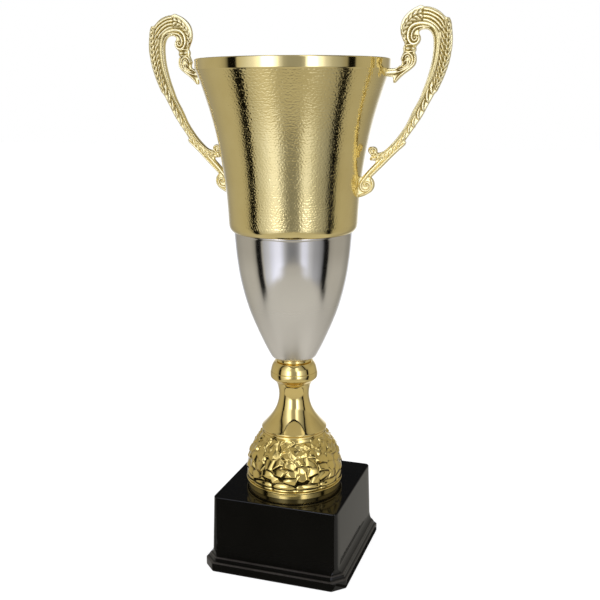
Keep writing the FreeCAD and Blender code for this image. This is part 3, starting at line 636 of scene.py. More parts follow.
def build_cup():
    wall_c = natural_spline(cup_out[1:], 0.25)
    s = np.concatenate([[0], np.cumsum(np.hypot(*np.diff(wall_c, axis=0).T))])
    rows = int(round(s[-1] / (ROW / 3)))
    ss = np.linspace(0, s[-1], rows + 1)
    wall = np.stack([np.interp(ss, s, wall_c[:, 0]), np.interp(ss, s, wall_c[:, 1])], 1)
    low = path([
        [(47.6, 293.3), (48.05, 293.45), (48.3, 293.8)],
        [(48.3, 293.8), (48.3, 295.3)],
        [(48.3, 295.3), (50.6, 295.3)],
        [(50.6, 295.3), (51.6, 295.75), (52.75, 296.9), (53.7, 298.4), (54.3, 300.2), (54.55, 302.0)],
    ], 0.6)
    low = soften(low, 0.22, closed=False)
    top = path([
        [(79.3, 427.1), (79.62, 427.3), (79.75, 427.75)],
        [(79.75, 427.75), (80.0, 435.1)],
        [(80.0, 435.1), (79.93, 435.7), (79.62, 436.0), (79.25, 436.1), (78.88, 436.0), (78.6, 435.7), (78.5, 435.2)],
        [(78.5, 435.2), (78.35, 428.0)],
    ], 0.55)
    inner_w = inset(cup_out[1:], 1.0)
    inner = path([
        [(78.35, 428.0), (77.9, 427.2), tuple(inner_w[-1] + np.array([-0.25, -0.9]))],
        [tuple(inner_w[-1] + np.array([-0.25, -0.9]))] + [tuple(q) for q in inner_w[::-1][1:]],
        [tuple(inner_w[0]), (53.3, 300.6), (52.6, 299.0), (51.6, 297.7), (50.6, 296.9), (49.3, 296.3)],
        [(49.3, 296.3), (47.3, 294.8), (46.8, 294.3)],
        [(46.8, 294.3), (3.3, 294.3)],
        [(3.3, 294.3), (3.3, 293.3)],
        [(3.3, 293.3), (47.6, 293.3)],
    ], 3.2)
    nA, nB = DIMPLES * 3, DIMPLES
    outer = np.concatenate([low, wall[1:], top[1:]])
    i0, i1 = len(low) - 1, len(low) - 1 + len(wall) - 1
    thA = np.arange(nA) * 2 * math.pi / nA
    R = np.repeat(outer[:, 0][:, None], nA, 1)
    Z = np.repeat(outer[:, 1][:, None], nA, 1)
    # real relief of the dimples: shallow dishes pushed in square to the wall
    tang = np.gradient(outer, axis=0)
    nrm = np.stack([tang[:, 1], -tang[:, 0]], 1) / np.hypot(tang[:, 0], tang[:, 1])[:, None]
    u = thA * DIMPLES / (2 * math.pi)
    vrow = (outer[:, 1] - WALL_LO) / ROW
    row = np.floor(vrow)
    uc = (u[None, :] + 0.5 * (row[:, None] % 2)) % DIMPLES
    ci = np.floor(uc).astype(int) % DIMPLES
    ri = np.clip(row.astype(int), 0, 63)[:, None] + 0 * ci
    table = RNG.random((3, 64, DIMPLES))
    fu = uc % 1.0 - (0.42 + 0.16 * table[0][ri, ci])
    fv = (vrow % 1.0)[:, None] - (0.42 + 0.16 * table[1][ri, ci])
    dish = np.clip(np.hypot(fu, fv) / 0.42, 0, 1)
    dish = dish * dish * (3 - 2 * dish)
    depth = 0.034 * (0.15 + 0.85 * table[2][ri, ci])
    mask = np.zeros(len(outer))
    mask[i0 + 1:i1 - 1] = 1
    zz = outer[:, 1]
    mask *= np.clip((zz - WALL_LO) / 1.5, 0, 1) * np.clip((WALL_HI - zz) / 0.8, 0, 1)
    push = -(1 - dish) * depth * mask[:, None]
    R = R + push * nrm[:, 0][:, None]
    Z = Z + push * nrm[:, 1][:, None]
    VA = np.stack([R * np.cos(thA), R * np.sin(thA), Z], -1).reshape(-1, 3)
    inner = inner[1:-1]
    thB = np.arange(nB) * 2 * math.pi / nB
    VB = np.stack([inner[:, 0, None] * np.cos(thB), inner[:, 0, None] * np.sin(thB), inner[:, 1, None] + 0 * thB], -1).reshape(-1, 3)
    off = len(VA)
    FA = ring_faces(len(outer), nA, False)
    FB = ring_faces(len(inner), nB, False) + off
    j = np.arange(nB)

    def bridge(a_row, b_row, flip):
        a = a_row * nA
        b = off + b_row * nB
        o0, o1, o2, o3 = a + 3 * j, a + 3 * j + 1, a + 3 * j + 2, a + (3 * j + 3) % nA
        q0, q1 = b + j, b + (j + 1) % nB
        t1 = np.stack([o0, o1, q0], 1)
        t2 = np.stack([o1, o2, q1, q0], 1)
        t3 = np.stack([o2, o3, q1], 1)
        if flip:
            return [t1[:, ::-1], t2[:, ::-1], t3[:, ::-1]]
        return [t1, t2, t3]

    faces = [FA, FB] + bridge(len(outer) - 1, 0, False) + bridge(0, len(inner) - 1, True)
    return add_mesh("gold_cup", np.concatenate([VA, VB]), faces, M_CUP, ["upper_cup"])


build_cup()

# ------------------------------------------------------------------ dome with relief
dome_out = [(41.7, 75.2), (42.2, 80.0), (41.9, 86.0), (41.3, 91.5), (40.5, 94.9), (39.3, 98.4), (37.9, 101.9), (36.1, 105.1),
            (33.9, 108.4), (31.2, 112.0), (28.2, 116.5)]


def build_dome():
    rng = np.random.default_rng(21)
    base = natural_spline([(41.5, 73.7)] + dome_out, 0.25)
    s = np.concatenate([[0], np.cumsum(np.hypot(*np.diff(base, axis=0).T))])
    nS, nT = 128, 700
    ss = np.linspace(0, s[-1], nS)
    wall = np.stack([np.interp(ss, s, base[:, 0]), np.interp(ss, s, base[:, 1])], 1)
    th = np.arange(nT) * 2 * math.pi / nT
    S, T = np.meshgrid(ss, th, indexing="ij")
    Rw = wall[:, 0][:, None] + 0 * T
    h = np.full_like(S, -0.2)

    def wrap(a):
        return (a + math.pi) % (2 * math.pi) - math.pi

    # a seam between two petals of the lowest row faces the camera
    front = -math.pi / 2 + PSI + 0.033
    n0 = 12
    for k in range(n0):
        t0 = front + (k + 0.5) * 2 * math.pi / n0 + rng.normal(0, 0.008)
        half, top = 11.3 + rng.normal(0, 0.15), 7.3 + rng.normal(0, 0.25)
        du = wrap(T - t0) * Rw
        e = np.clip(1 - (np.abs(du) / half) ** 2.6, 0, 1)
        body = (2.0 - 0.012 * (S - 3.4) ** 2) * e ** 0.45 * np.clip(S / 0.9, 0, 1) ** 0.5 * np.clip(1 - (S / (top * (0.62 + 0.38 * e ** 0.5))) ** 3.0, 0, 1) ** 0.6
        h = np.maximum(h, body - 0.2)
    # above it: columns of angular scales, each sloping back from a flat lower edge with a long bevel under it
    n1 = 24
    first = {0: 9.6, 1: 7.6, 2: 11.0, 3: 8.0, 23: 8.0, 22: 7.4, 21: 11.4, 20: 7.8}
    for c in range(n1):
        tc_ = front + (c + 0.5) * 2 * math.pi / n1
        s_low = first.get(c, (8.3 if c % 2 else 11.6) + rng.normal(0, 0.6))
        pitch = 7.7 + rng.normal(0, 0.35)
        while s_low < s[-1] - 3.0:
            r_here = float(np.interp(s_low, ss, wall[:, 0]))
            k = (r_here / 42.0) ** 0.8
            up = s_low / s[-1]
            wild = min(1.0, max(0.0, (up - 0.42) / 0.3))
            t0 = tc_ + rng.normal(0, 0.012 + 0.05 * wild)
            H = (1.95 - 1.10 * up) * (1 + rng.normal(0, 0.08))
            fl = 4.2 + rng.normal(0, 0.4)
            rot = (1 if (c + int(s_low / 6)) % 2 else -1) * abs(rng.normal(0.30, 0.10)) + rng.normal(0, 0.22 * wild)
            tilt = rng.normal(0, 0.16)
            lean_el = math.degrees(math.atan2(-float(np.gradient(wall[:, 0], ss)[min(nS - 1, np.searchsorted(ss, s_low))]), 1.0))
            rise = float(np.interp(s_low, ss, wall[:, 1])) - 67.0
            step_el = lean_el + 0.5 * (math.degrees(math.atan2(rise, 21.0)) - 7.0)
            step = math.tan(math.radians(min(58.0, max(29.0, step_el + 4.0))))
            i0, i1 = np.searchsorted(ss, s_low - 5), np.searchsorted(ss, s_low + 13)
            du = wrap(T[i0:i1] - t0) * Rw[i0:i1] / k
            dv = (S[i0:i1] - s_low) / k
            u = du * math.cos(rot) + dv * math.sin(rot)
            v = -du * math.sin(rot) + dv * math.cos(rot)
            # swelling outwards in the middle, falling back towards the top
            face = H * (1 - np.clip(v, 0, None) / rng.uniform(5.4, 9.5)) - 0.006 * u * u + tilt * u
            bend = 0.10 * rng.normal(0, 1.0) * u
            plates = [face, H - 0.05 + step * (v + bend + 0.2), H - (0.72 - 0.1 * wild) * (np.abs(u + rng.normal(0, 0.4)) - fl)]
            for _ in range(2):
                al = rng.random() * 2 * math.pi
                o = rng.uniform(0.3, 2.4)
                plates.append(face + 0.06 - rng.uniform(0.18 + 0.04 * wild, 0.42 + 0.10 * wild) * (u * math.cos(al) + (v - 4.0) * math.sin(al) - o))
            body = np.min(plates, axis=0)
            body = np.where(v < 12.0, body, -9)
            h[i0:i1] = np.maximum(h[i0:i1], body)
            s_low += pitch * k * (1 + rng.normal(0, 0.04))
    # slanting creases over the upper scales
    for _ in range(70):
        sc = rng.uniform(s[-1] * 0.50, s[-1] - 2.5)
        r_here = float(np.interp(sc, ss, wall[:, 0]))
        t0 = rng.uniform(-math.pi, math.pi)
        al = rng.choice([-1, 1]) * rng.uniform(0.45, 1.15)
        ln, wd, ht = rng.uniform(2.6, 4.8), rng.uniform(1.1, 1.6), rng.uniform(0.45, 0.8)
        i0, i1 = np.searchsorted(ss, sc - 6), np.searchsorted(ss, sc + 6)
        du = wrap(T[i0:i1] - t0) * r_here
        dv = S[i0:i1] - sc
        lo_, ac = du * math.cos(al) + dv * math.sin(al), -du * math.sin(al) + dv * math.cos(al)
        h[i0:i1] += ht * np.clip(1 - np.abs(ac) / wd, 0, 1) * np.clip((ln - np.abs(lo_)) / 1.0, 0, 1)
    h = np.clip(h, -0.35, 2.6)
    # the relief dies out towards the bell and starts at the lip
    h = (h + 0.35) * np.clip((s[-1] - 0.7 - S) / 1.4, 0, 1) ** 0.8 * np.clip(S / 0.5, 0, 1)
    # slight softness of the plating
    for _ in range(1):
        h = 0.25 * (np.roll(h, 1, 1) + 2 * h + np.roll(h, -1, 1))
        hp = np.pad(h, ((1, 1), (0, 0)), mode="edge")
        h = 0.25 * (hp[:-2] + 2 * h + hp[2:])
    tang = np.gradient(wall, axis=0)
    nrm = np.stack([tang[:, 1], -tang[:, 0]], 1) / np.hypot(tang[:, 0], tang[:, 1])[:, None]
    h = 0.95 * h - 1.0 * np.clip((s[-1] - 0.5 - S) / 2.0, 0, 1) * np.clip(S / 2.0, 0, 1)
    R = wall[:, 0][:, None] + h * nrm[:, 0][:, None]
    Z = wall[:, 1][:, None] + h * nrm[:, 1][:, None]
    VA = np.stack([R * np.cos(th), R * np.sin(th), Z], -1).reshape(-1, 3)
    # lip and ring below, same columns; the inside has a fifth of them
    low = path([
        [(39.4, 67.0), (41.85, 67.0)],
        [(41.85, 67.0), (41.25, 71.4)],
        [(41.25, 71.4), (42.6, 71.7)],
        [(42.6, 71.7), (43.0, 72.3), (42.85, 73.1), (42.2, 73.45)],
        [(42.2, 73.45), (41.5, 73.7)],
    ], 0.45)
    low = soften(low, 0.2, closed=False)[:-1]
    VL = np.stack([low[:, 0, None] * np.cos(th), low[:, 0, None] * np.sin(th), low[:, 1, None] + 0 * th], -1).reshape(-1, 3)
    V_outer = np.concatenate([VL, VA])
    nO = len(low) + nS
    nB = nT // 5
    thB = np.arange(nB) * 2 * math.pi / nB
    dome_in = inset(dome_out, 2.2)
    inner = path([
        [(28.2, 116.5), (24.0, 116.5)],
        [(24.0, 116.5), (24.0, 119.5)],
        [(24.0, 119.5), (21.6, 119.5)],
        [(21.6, 119.5), (21.6, 116.5)],
        [(21.6, 116.5), tuple(dome_in[-1])],
        [tuple(q) for q in dome_in[::-1]],
        [tuple(dome_in[0]), (39.4, 73.0)],
        [(39.4, 73.0), (39.4, 67.0)],
    ], 2.4)
    inner = inner[1:-1]
    VB = np.stack([inner[:, 0, None] * np.cos(thB), inner[:, 0, None] * np.sin(thB), inner[:, 1, None] + 0 * thB], -1).reshape(-1, 3)
    off = len(V_outer)
    j = np.arange(nB)

    def bridge(a_row, b_row, flip):
        a, b_ = a_row * nT, off + b_row * nB
        o = [a + (5 * j + k) % nT for k in range(6)]
        q0, q1 = b_ + j, b_ + (j + 1) % nB
        parts = [np.stack([o[0], o[1], q0], 1), np.stack([o[1], o[2], q0], 1), np.stack([o[2], o[3], q1, q0], 1),
                 np.stack([o[3], o[4], q1], 1), np.stack([o[4], o[5], q1], 1)]
        return [x[:, ::-1] for x in parts] if flip else parts

    faces = [ring_faces(nO, nT, False), ring_faces(len(inner), nB, False) + off] + bridge(nO - 1, 0, False) + bridge(0, len(inner) - 1, True)
    # how far each point lies below its surroundings: painted shade darkens the hollows between the scales, most in the
    # lower part of the dome
    wide = h.copy()
    for _ in range(14):
        wide = 0.25 * (np.roll(wide, 1, 1) + 2 * wide + np.roll(wide, -1, 1))
        hp = np.pad(wide, ((1, 1), (0, 0)), mode="edge")
        wide = 0.25 * (hp[:-2] + 2 * wide + hp[2:])
    hollow = np.clip((wide - h - 0.07) / 0.18, 0, 1) * np.clip((0.74 - S / s[-1]) / 0.25, 0.25, 1)
    ob = add_mesh("dome_with_relief", np.concatenate([V_outer, VB]), faces, M_DOME, ["dome_riser"])
    vals = np.zeros(len(ob.data.vertices))
    if len(vals) == len(V_outer) + len(VB):
        vals[len(VL):len(VL) + len(VA)] = hollow.reshape(-1)
    ob.data.attributes.new("hollow", "FLOAT", "POINT").data.foreach_set("value", vals)
    # painted shade: the base colour turns dark brown where 'hollow' is high
    nt = M_DOME.node_tree
    pb = [n for n in nt.nodes if n.type == "BSDF_PRINCIPLED"][0]
    at = nt.nodes.new("ShaderNodeAttribute")
    at.attribute_name = "hollow"
    gold_in = pb.inputs["Base Color"].links[0].from_socket
    nt.links.new(mix_rgb(nt, at.outputs["Fac"], gold_in, (0.055, 0.036, 0.010)), pb.inputs["Base Color"])
    return ob


build_dome()


# ------------------------------------------------------------------ plinth
def build_plinth():
    """One closed skin: skirt moulding, body, top face, hole for the rod, boss and the hollow inside."""
    per = 10                       # points on each corner
    side = 8                       # points on each side

    def ring(half, z, chamfer=None, r=0.0):
        """Square with cut corners (chamfer) whose angles are eased by r, or with round corners when chamfer is None."""
        pts = []
        for q in range(4):
            a0 = q * math.pi / 2
            ca, sa = math.cos(a0), math.sin(a0)
            corner = []
            for k in range(per):
                t = k / (per - 1)
                if chamfer is None:
                    a = t * math.pi / 2
                    x, y = half - r + r * math.cos(a), half - r + r * math.sin(a)
                else:
                    e = min(r, chamfer * 0.4)
                    # the cut corner: two eased angles
                    A, B = np.array([half, half - chamfer]), np.array([half - chamfer, half])
                    d1 = np.array([0.0, 1.0])
                    d2 = (B - A) / np.hypot(*(B - A))
                    d3 = np.array([-1.0, 0.0])
                    if t < 0.4:
                        w = t / 0.4
                        p0, p1, p2 = A - d1 * e, A, A + d2 * e
                    elif t > 0.6:
                        w = (t - 0.6) / 0.4
                        p0, p1, p2 = B - d2 * e, B, B + d3 * e
                    else:
                        w = (t - 0.4) / 0.2
                        p0 = A + d2 * e
                        p2 = B - d2 * e
                        p1 = (p0 + p2) / 2
                    x, y = (1 - w) ** 2 * p0 + 2 * w * (1 - w) * p1 + w * w * p2
                corner.append((x, y))
            x0, y0 = corner[0]
            for k in range(side):
                # side before this corner, from its middle outwards
                yy = y0 * (k / side)
                pts.append((x0 * ca - yy * sa, x0 * sa + yy * ca))
            for x, y in corner:
                pts.append((x * ca - y * sa, x * sa + y * ca))
            x1, y1 = corner[-1]
            for k in range(1, side):
                xx = x1 * (1 - k / side)
                pts.append((xx * ca - y1 * sa, xx * sa + y1 * ca))
        return np.array([(x, y, z) for x, y in pts])

    def circle(r, z):
        base = ring(50.0, z, None, 20.0)
        a = np.arctan2(base[:, 1], base[:, 0])
        return np.stack([r * np.cos(a), r * np.sin(a), np.full(len(a), z)], 1)

    body_h = lambda z: 57.4 - (z - 16.4) * 1.4 / 50.6
    # outer outline as (half, z) with chamfer following; corners of the moulding are eased
    lv = np.array([(64.0, 10.0, 0.4), (64.5, 10.0, 1.0), (64.5, 10.0, 8.0), (64.0, 10.0, 8.5), (62.3, 9.4, 9.6), (62.0, 9.2, 10.9),
                   (61.2, 8.4, 12.2), (59.6, 7.0, 13.4), (58.4, 5.0, 14.8), (57.75, 3.4, 16.2), (body_h(17.6), 2.3, 17.6)])
    prof = lv[:, [0, 2]]
    dense = [prof[0][None]]
    for a, b_ in zip(prof[:-1], prof[1:]):
        dense.append(straight(a, b_, 1.2)[1:])
    dense = np.concatenate(dense)
    soft = soften(dense, 0.45, ang=12.0, n=4, closed=False)
    ch = np.interp(soft[:, 1], lv[:, 2], lv[:, 1])
    rings = [ring(h_, z_, c_, 1.0 if z_ < 13 else 0.8) for (h_, z_), c_ in zip(soft, ch)]
    zs = [18.6, 21.0, 30.0, 42.0, 54.0, 62.0, 65.0]
    rings += [ring(body_h(z_), z_, None, 4.0) for z_ in zs]
    for k in range(0, 7):
        a = k / 6 * math.pi / 2
        rings.append(ring(56.0 + 0.03 - 0.7 * (1 - math.cos(a)), 66.3 + 0.7 * math.sin(a), None, 4.0 - 0.7 * (1 - math.cos(a))))
    rings += [ring(54.0, 67.0, None, 2.4), ring(48.0, 67.0, None, 6.0), circle(36.0, 67.0), circle(14.0, 67.0), circle(3.9, 67.0), circle(3.3, 66.6)]
    rings += [circle(3.3, 40.0), circle(3.3, 20.6), circle(9.0, 20.6), circle(9.0, 63.8), circle(20.0, 63.8), ring(52.6, 63.8, None, 1.0)]
    rings += [ring(54.9, 14.0, None, 1.0), ring(55.1, 13.0, 1.2, 0.3), ring(59.3, 8.0, 8.7, 0.4), ring(59.3, 3.6, 8.7, 0.4), ring(61.3, 3.6, 8.7, 0.4), ring(61.3, 0.4, 8.7, 0.4)]
    V = np.concatenate(rings)
    n_ = len(rings[0])
    ob = add_mesh("black_plinth", V, [ring_faces(len(rings), n_)], M_BLACK, ["plinth_shell"])
    ob.data.set_sharp_from_angle(angle=math.radians(40))
    return ob


build_plinth()

# ------------------------------------------------------------------ handles
def store_relief(ob, rounds=26, gain=0.34):
    """Height of every vertex above a smoothed copy of the mesh, kept as a value from which the material paints shade in
    the hollows and highlights on the crests.
    """
    me = ob.data
    n = len(me.vertices)
    co = np.empty(n * 3)
    me.vertices.foreach_get("co", co)
    co = co.reshape(-1, 3) / MM
    ed = np.empty(len(me.edges) * 2, dtype=np.int64)
    me.edges.foreach_get("vertices", ed)
    ed = ed.reshape(-1, 2)
    a, b = np.concatenate([ed[:, 0], ed[:, 1]]), np.concatenate([ed[:, 1], ed[:, 0]])
    cnt = np.maximum(np.bincount(a, minlength=n), 1)
    sm = co.copy()
    for _ in range(rounds):
        sm = np.stack([np.bincount(a, weights=sm[b, k], minlength=n) / cnt for k in range(3)], 1)
    nr = np.empty(n * 3)
    me.vertex_normals.foreach_get("vector", nr)
    d = np.einsum("ij,ij->i", co - sm, nr.reshape(-1, 3))
    # the flats that lie lower than the rest get painted shade too
    ny = np.abs(nr.reshape(-1, 3)[:, 1])
    face = np.clip((ny - 0.5) / 0.3, 0, 1)
    # the painted shade and highlights get weaker towards the lower scroll
    upper = 0.50 + 0.50 * np.clip((co[:, 2] - 378.0) / 22.0, 0, 1)
    flat = np.clip((2.75 - np.abs(co[:, 1])) / 0.35, 0, 1) * face
    # front faces of the smooth band, which the material paints in shade
    plain = np.clip((2.42 - np.abs(co[:, 1])) / 0.08, 0, 1) * np.clip((np.abs(co[:, 1]) - 2.0) / 0.15, 0, 1) * np.clip((ny - 0.8) / 0.15, 0, 1)
    at = me.attributes.new("relief", "FLOAT", "POINT")
    at.data.foreach_set("value", np.clip((d / gain - 0.25 * flat) * upper, -1, 1))
    me.attributes.new("plain", "FLOAT", "POINT").data.foreach_set("value", plain)


H_RUNS = [
    [(78.0, 427.5), (84.5, 427.6)],
    [(84.5, 427.6), (87.8, 428.1), (89.8, 429.5), (90.7, 431.6), (90.5, 433.4)],
    [(90.5, 433.4), (89.8, 434.6), (90.3, 436.4), (91.2, 438.6), (91.9, 440.4)],
    [(91.9, 440.4), (91.5, 441.8), (91.6, 443.6), (92.6, 445.2)],
    [(92.6, 445.2), (91.9, 448.4), (90.2, 451.4), (89.2, 455.0), (89.1, 458.6), (89.9, 462.6), (91.8, 466.2), (94.3, 468.9),
     (97.0, 471.0), (100.0, 472.7), (102.4, 473.7), (104.2, 474.6)],
    [(104.2, 474.6), (106.2, 474.0)],
    [(106.2, 474.0), (107.2, 473.5)],
    [(107.2, 473.5), (110.4, 473.3), (113.4, 472.6), (117.4, 470.9), (120.6, 468.6), (123.0, 466.3), (124.2, 465.3)],
    [(124.2, 465.3), (126.8, 464.9)],
    [(126.8, 464.9), (128.0, 462.4), (128.9, 457.6), (129.5, 452.6), (129.7, 447.6), (129.5, 443.0), (128.6, 437.5), (127.4, 431.5),
     (125.9, 426.4), (123.9, 420.9), (121.4, 414.9), (119.2, 410.2)],
    [(119.2, 410.2), (116.7, 407.6)],
    [(116.7, 407.6), (114.4, 403.3), (112.0, 398.9), (110.4, 395.8), (107.4, 390.2), (103.8, 384.9), (100.3, 379.8), (96.6, 374.6), (94.5, 371.4)],
    [(94.5, 371.4), (95.5, 370.1)],
    [(95.5, 370.1), (94.8, 368.8)],
    [(94.8, 368.8), (86.3, 361.0)],
    [(86.3, 361.0), (66.7, 341.6)],
    [(66.7, 341.6), (66.5, 340.2), (68.5, 339.0), (69.8, 336.5), (69.6, 333.9), (68.6, 331.6), (66.5, 329.6), (63.9, 327.7), (60.9, 326.2), (57.5, 325.3)],
    [(57.5, 325.3), (54.0, 325.2)],
    [(54.0, 325.2), (56.0, 341.9)],
    [(56.0, 341.9), (59.9, 342.2)],
    [(59.9, 342.2), (66.4, 349.2)],
    [(66.4, 349.2), (71.0, 354.0)],
    [(71.0, 354.0), (70.9, 355.4)],
    [(70.9, 355.4), (66.6, 355.5)],
    [(66.6, 355.5), (66.0, 356.9), (67.0, 359.0), (65.4, 361.4), (64.6, 363.6), (65.3, 365.8), (67.7, 366.6), (70.2, 365.6), (71.0, 363.4), (71.3, 362.0)],
    [(71.3, 362.0), (74.3, 362.1), (77.4, 363.2), (80.5, 365.6), (85.2, 370.3), (90.4, 376.8), (96.3, 386.1), (100.2, 394.6), (103.6, 400.7),
     (106.1, 405.8), (108.0, 411.0), (110.0, 416.4), (111.9, 422.4), (113.5, 428.6), (114.7, 434.8), (115.3, 441.0), (115.3, 446.6), (114.7, 451.2),
     (113.2, 454.2), (110.8, 456.2), (107.8, 456.7), (105.2, 456.3), (103.6, 455.2)],
    [(103.6, 455.2), (103.5, 454.2), (104.5, 452.2), (104.9, 449.8), (104.4, 447.4), (103.0, 445.4), (101.8, 444.2)],
    [(101.8, 444.2), (101.4, 442.8), (101.8, 441.2), (100.9, 440.0)],
    [(100.9, 440.0), (101.2, 437.4), (101.7, 434.2), (101.1, 431.0), (99.6, 428.7), (96.4, 426.2), (92.2, 422.8), (89.3, 420.2), (87.3, 418.2), (85.7, 416.5)],
    [(85.7, 416.5), (84.3, 416.5)],
    [(84.3, 416.5), (84.0, 420.9)],
    [(84.0, 420.9), (77.0, 421.8)],
    [(77.0, 421.8), (78.0, 427.5)],
]


def offset_run(pts, d):
    """Points moved square to the run by d, to the right-hand side of its direction."""
    p = np.asarray(pts, float)
    t = np.gradient(p, axis=0)
    t /= np.hypot(t[:, 0], t[:, 1])[:, None]
    return p + np.stack([t[:, 1], -t[:, 0]], 1) * d


class Shells:
    """Closed shells gathered into one mesh before they are fused."""

    def __init__(self):
        self.v, self.f, self.n = [], [], 0

    def add(self, v, f):
        self.v.append(np.asarray(v, float))
        self.f += [[int(i) + self.n for i in q] for q in f]
        self.n += len(v)

    def strand(self, pts, w, d, kind=None, p=2.5, k=0.5, amp=0.25, nc=20, step=0.35, off=0.0, scallop=0.0, ends=(1, 1), flat=1.0):
        """A closed bar of elliptical section along pts: half width w in the plane of the handle, half depth d.
        kind cuts grooves: rope (slanting), leaf (V-shaped, with a rib line), rings (straight across)."""
        pts = np.asarray(pts, float)
        P = straight(pts[0], pts[-1], step) if len(pts) == 2 else natural_spline(pts, step)
        m_ = len(P)
        t = np.gradient(P, axis=0)
        t /= np.hypot(t[:, 0], t[:, 1])[:, None]
        N = np.stack([t[:, 1], -t[:, 0]], 1)
        s = np.concatenate([[0], np.cumsum(np.hypot(*np.diff(P, axis=0).T))])
        cs = np.concatenate([[0], np.cumsum(np.hypot(*np.diff(pts, axis=0).T))]) / 1.0
        cs *= s[-1] / cs[-1]
        W = np.interp(s, cs, w) if np.ndim(w) else np.full(m_, float(w))
        D = np.interp(s, cs, d) if np.ndim(d) else np.full(m_, float(d))
        for e, dist in ((ends[0], s), (ends[1], s[-1] - s)):
            if e:
                x = np.clip(dist / (W * 1.1 + 1e-6), 0, 1)
                c = np.sqrt(np.clip(1 - (1 - x) ** 2, 0.0, 1)) * 0.97 + 0.03
                W, D = W * c, D * (0.25 + 0.75 * c)
        phi = np.arange(nc) * 2 * math.pi / nc
        u, v = np.cos(phi)[None, :], (np.sign(np.sin(phi)) * np.abs(np.sin(phi)) ** flat)[None, :]
        S = s[:, None]
        g = np.zeros((m_, nc))
        if kind == "rope":
            ph = (S / p + k * u) % 1.0
            g = 1 - np.abs(np.sin(math.pi * ph)) ** 1.05
        elif kind == "leaf":
            ph = (S / p + k * np.abs(u)) % 1.0
            g = 1 - np.abs(np.sin(math.pi * ph)) ** 0.8
            g = np.maximum(g, 0.9 * np.exp(-(u / 0.13) ** 2))
        elif kind == "rings":
            ph = (S / p + 0 * u) % 1.0
            g = 1 - np.abs(np.sin(math.pi * ph)) ** 0.8
        edge = np.abs(u) ** 2
        wx = W[:, None] * (1 - scallop * g * edge)
        X = P[:, 0][:, None] + N[:, 0][:, None] * (wx * u + off)
        Z = P[:, 1][:, None] + N[:, 1][:, None] * (wx * u + off)
        Y = D[:, None] * v * (1 - amp * g)
        V = np.stack([X, Y, Z], -1).reshape(-1, 3)
        F = ring_faces(m_, nc, False).tolist()
        a, b = m_ * nc, m_ * nc + 1
        V = np.concatenate([V, [[P[0, 0], 0, P[0, 1]], [P[-1, 0], 0, P[-1, 1]]]])
        last = (m_ - 1) * nc
        for i in range(nc):
            F.append([a, (i + 1) % nc, i])
            F.append([b, last + i, last + (i + 1) % nc])
        # outward orientation
        co = V
        vol = 0.0
        for q in (F[0],):
            pass
        A = np.array([[q[0], q[1], q[2]] for q in F] + [[q[0], q[2], q[3]] for q in F if len(q) == 4])
        vol = np.einsum("ij,ij->i", co[A[:, 0]], np.cross(co[A[:, 1]], co[A[:, 2]])).sum()
        if vol < 0:
            F = [q[::-1] for q in F]
        self.add(V, F)

    def ball(self, x, z, rx, rz, ry, n=16, m_=10):
        th = np.arange(n) * 2 * math.pi / n
        V, rings = [], []
        for i in range(1, m_):
            a = math.pi * i / m_
            V += [(x + rx * math.sin(a) * math.cos(t), -ry * math.cos(a), z + rz * math.sin(a) * math.sin(t)) for t in th]
        V += [(x, -ry, z), (x, ry, z)]
        top, bot = (m_ - 1) * n, (m_ - 1) * n + 1
        F = [[i * n + j, i * n + (j + 1) % n, (i + 1) * n + (j + 1) % n, (i + 1) * n + j] for i in range(m_ - 2) for j in range(n)]
        F += [[top, (j + 1) % n, j] for j in range(n)] + [[bot, (m_ - 2) * n + j, (m_ - 2) * n + (j + 1) % n] for j in range(n)]
        V = np.array(V, float)
        A = np.array([[q[0], q[1], q[2]] for q in F] + [[q[0], q[2], q[3]] for q in F if len(q) == 4])
        c = V - np.array([x, 0, z])
        if np.einsum("ij,ij->i", c[A[:, 0]], np.cross(c[A[:, 1]], c[A[:, 2]])).sum() < 0:
            F = [q[::-1] for q in F]
        self.add(V, F)

    def plate(self, loop, half, edge=0.5):
        """Flat plate with eased edges inside a closed outline in the XZ plane."""
        from mathutils.geometry import tessellate_polygon
        P = np.asarray(loop, float)
        area = 0.5 * np.sum(P[:, 0] * np.roll(P[:, 1], -1) - np.roll(P[:, 0], -1) * P[:, 1])
        if area < 0:
            P = P[::-1]
        n = len(P)
        t = np.roll(P, -1, 0) - np.roll(P, 1, 0)
        t /= np.maximum(np.hypot(t[:, 0], t[:, 1]), 1e-9)[:, None]
        inw = np.stack([-t[:, 1], t[:, 0]], 1)
        rings = [(edge, -half), (0.15 * edge, -half + 0.6 * edge), (0.0, -half + edge), (0.0, half - edge), (0.15 * edge, half - 0.6 * edge), (edge, half)]
        V = np.concatenate([np.stack([P[:, 0] + inw[:, 0] * o, np.full(n, y), P[:, 1] + inw[:, 1] * o], 1) for o, y in rings])
        F = ring_faces(len(rings), n, False).tolist()
        tris = tessellate_polygon([[Vector((x, z, 0)) for x, z in V[:n, [0, 2]]]])
        lastr = (len(rings) - 1) * n
        A = np.array([[q[0], q[1], q[2]] for q in F] + [[q[0], q[2], q[3]] for q in F])
        out = np.einsum("ij,ij->i", V[A[:, 0]], np.cross(V[A[:, 1]], V[A[:, 2]])).sum() > 0
        for a, b, c in tris:
            # the y = -half cap must face -Y, whichever way the triangles were given
            nrm = np.cross(V[b] - V[a], V[c] - V[a])
            lo_ = [a, b, c] if nrm[1] < 0 else [a, c, b]
            hi_ = [q + lastr for q in lo_[::-1]]
            F.append(lo_)
            F.append(hi_)
        # side walls must agree with the caps: check one wall normal against the outline
        q = F[0]
        nrm = np.cross(V[q[1]] - V[q[0]], V[q[2]] - V[q[0]])
        k_ = q[0] % n
        if nrm[0] * inw[k_, 0] + nrm[2] * inw[k_, 1] > 0:
            nw = len(rings) * n - n
            for i in range(nw):
                F[i] = F[i][::-1]
        self.add(V, F)


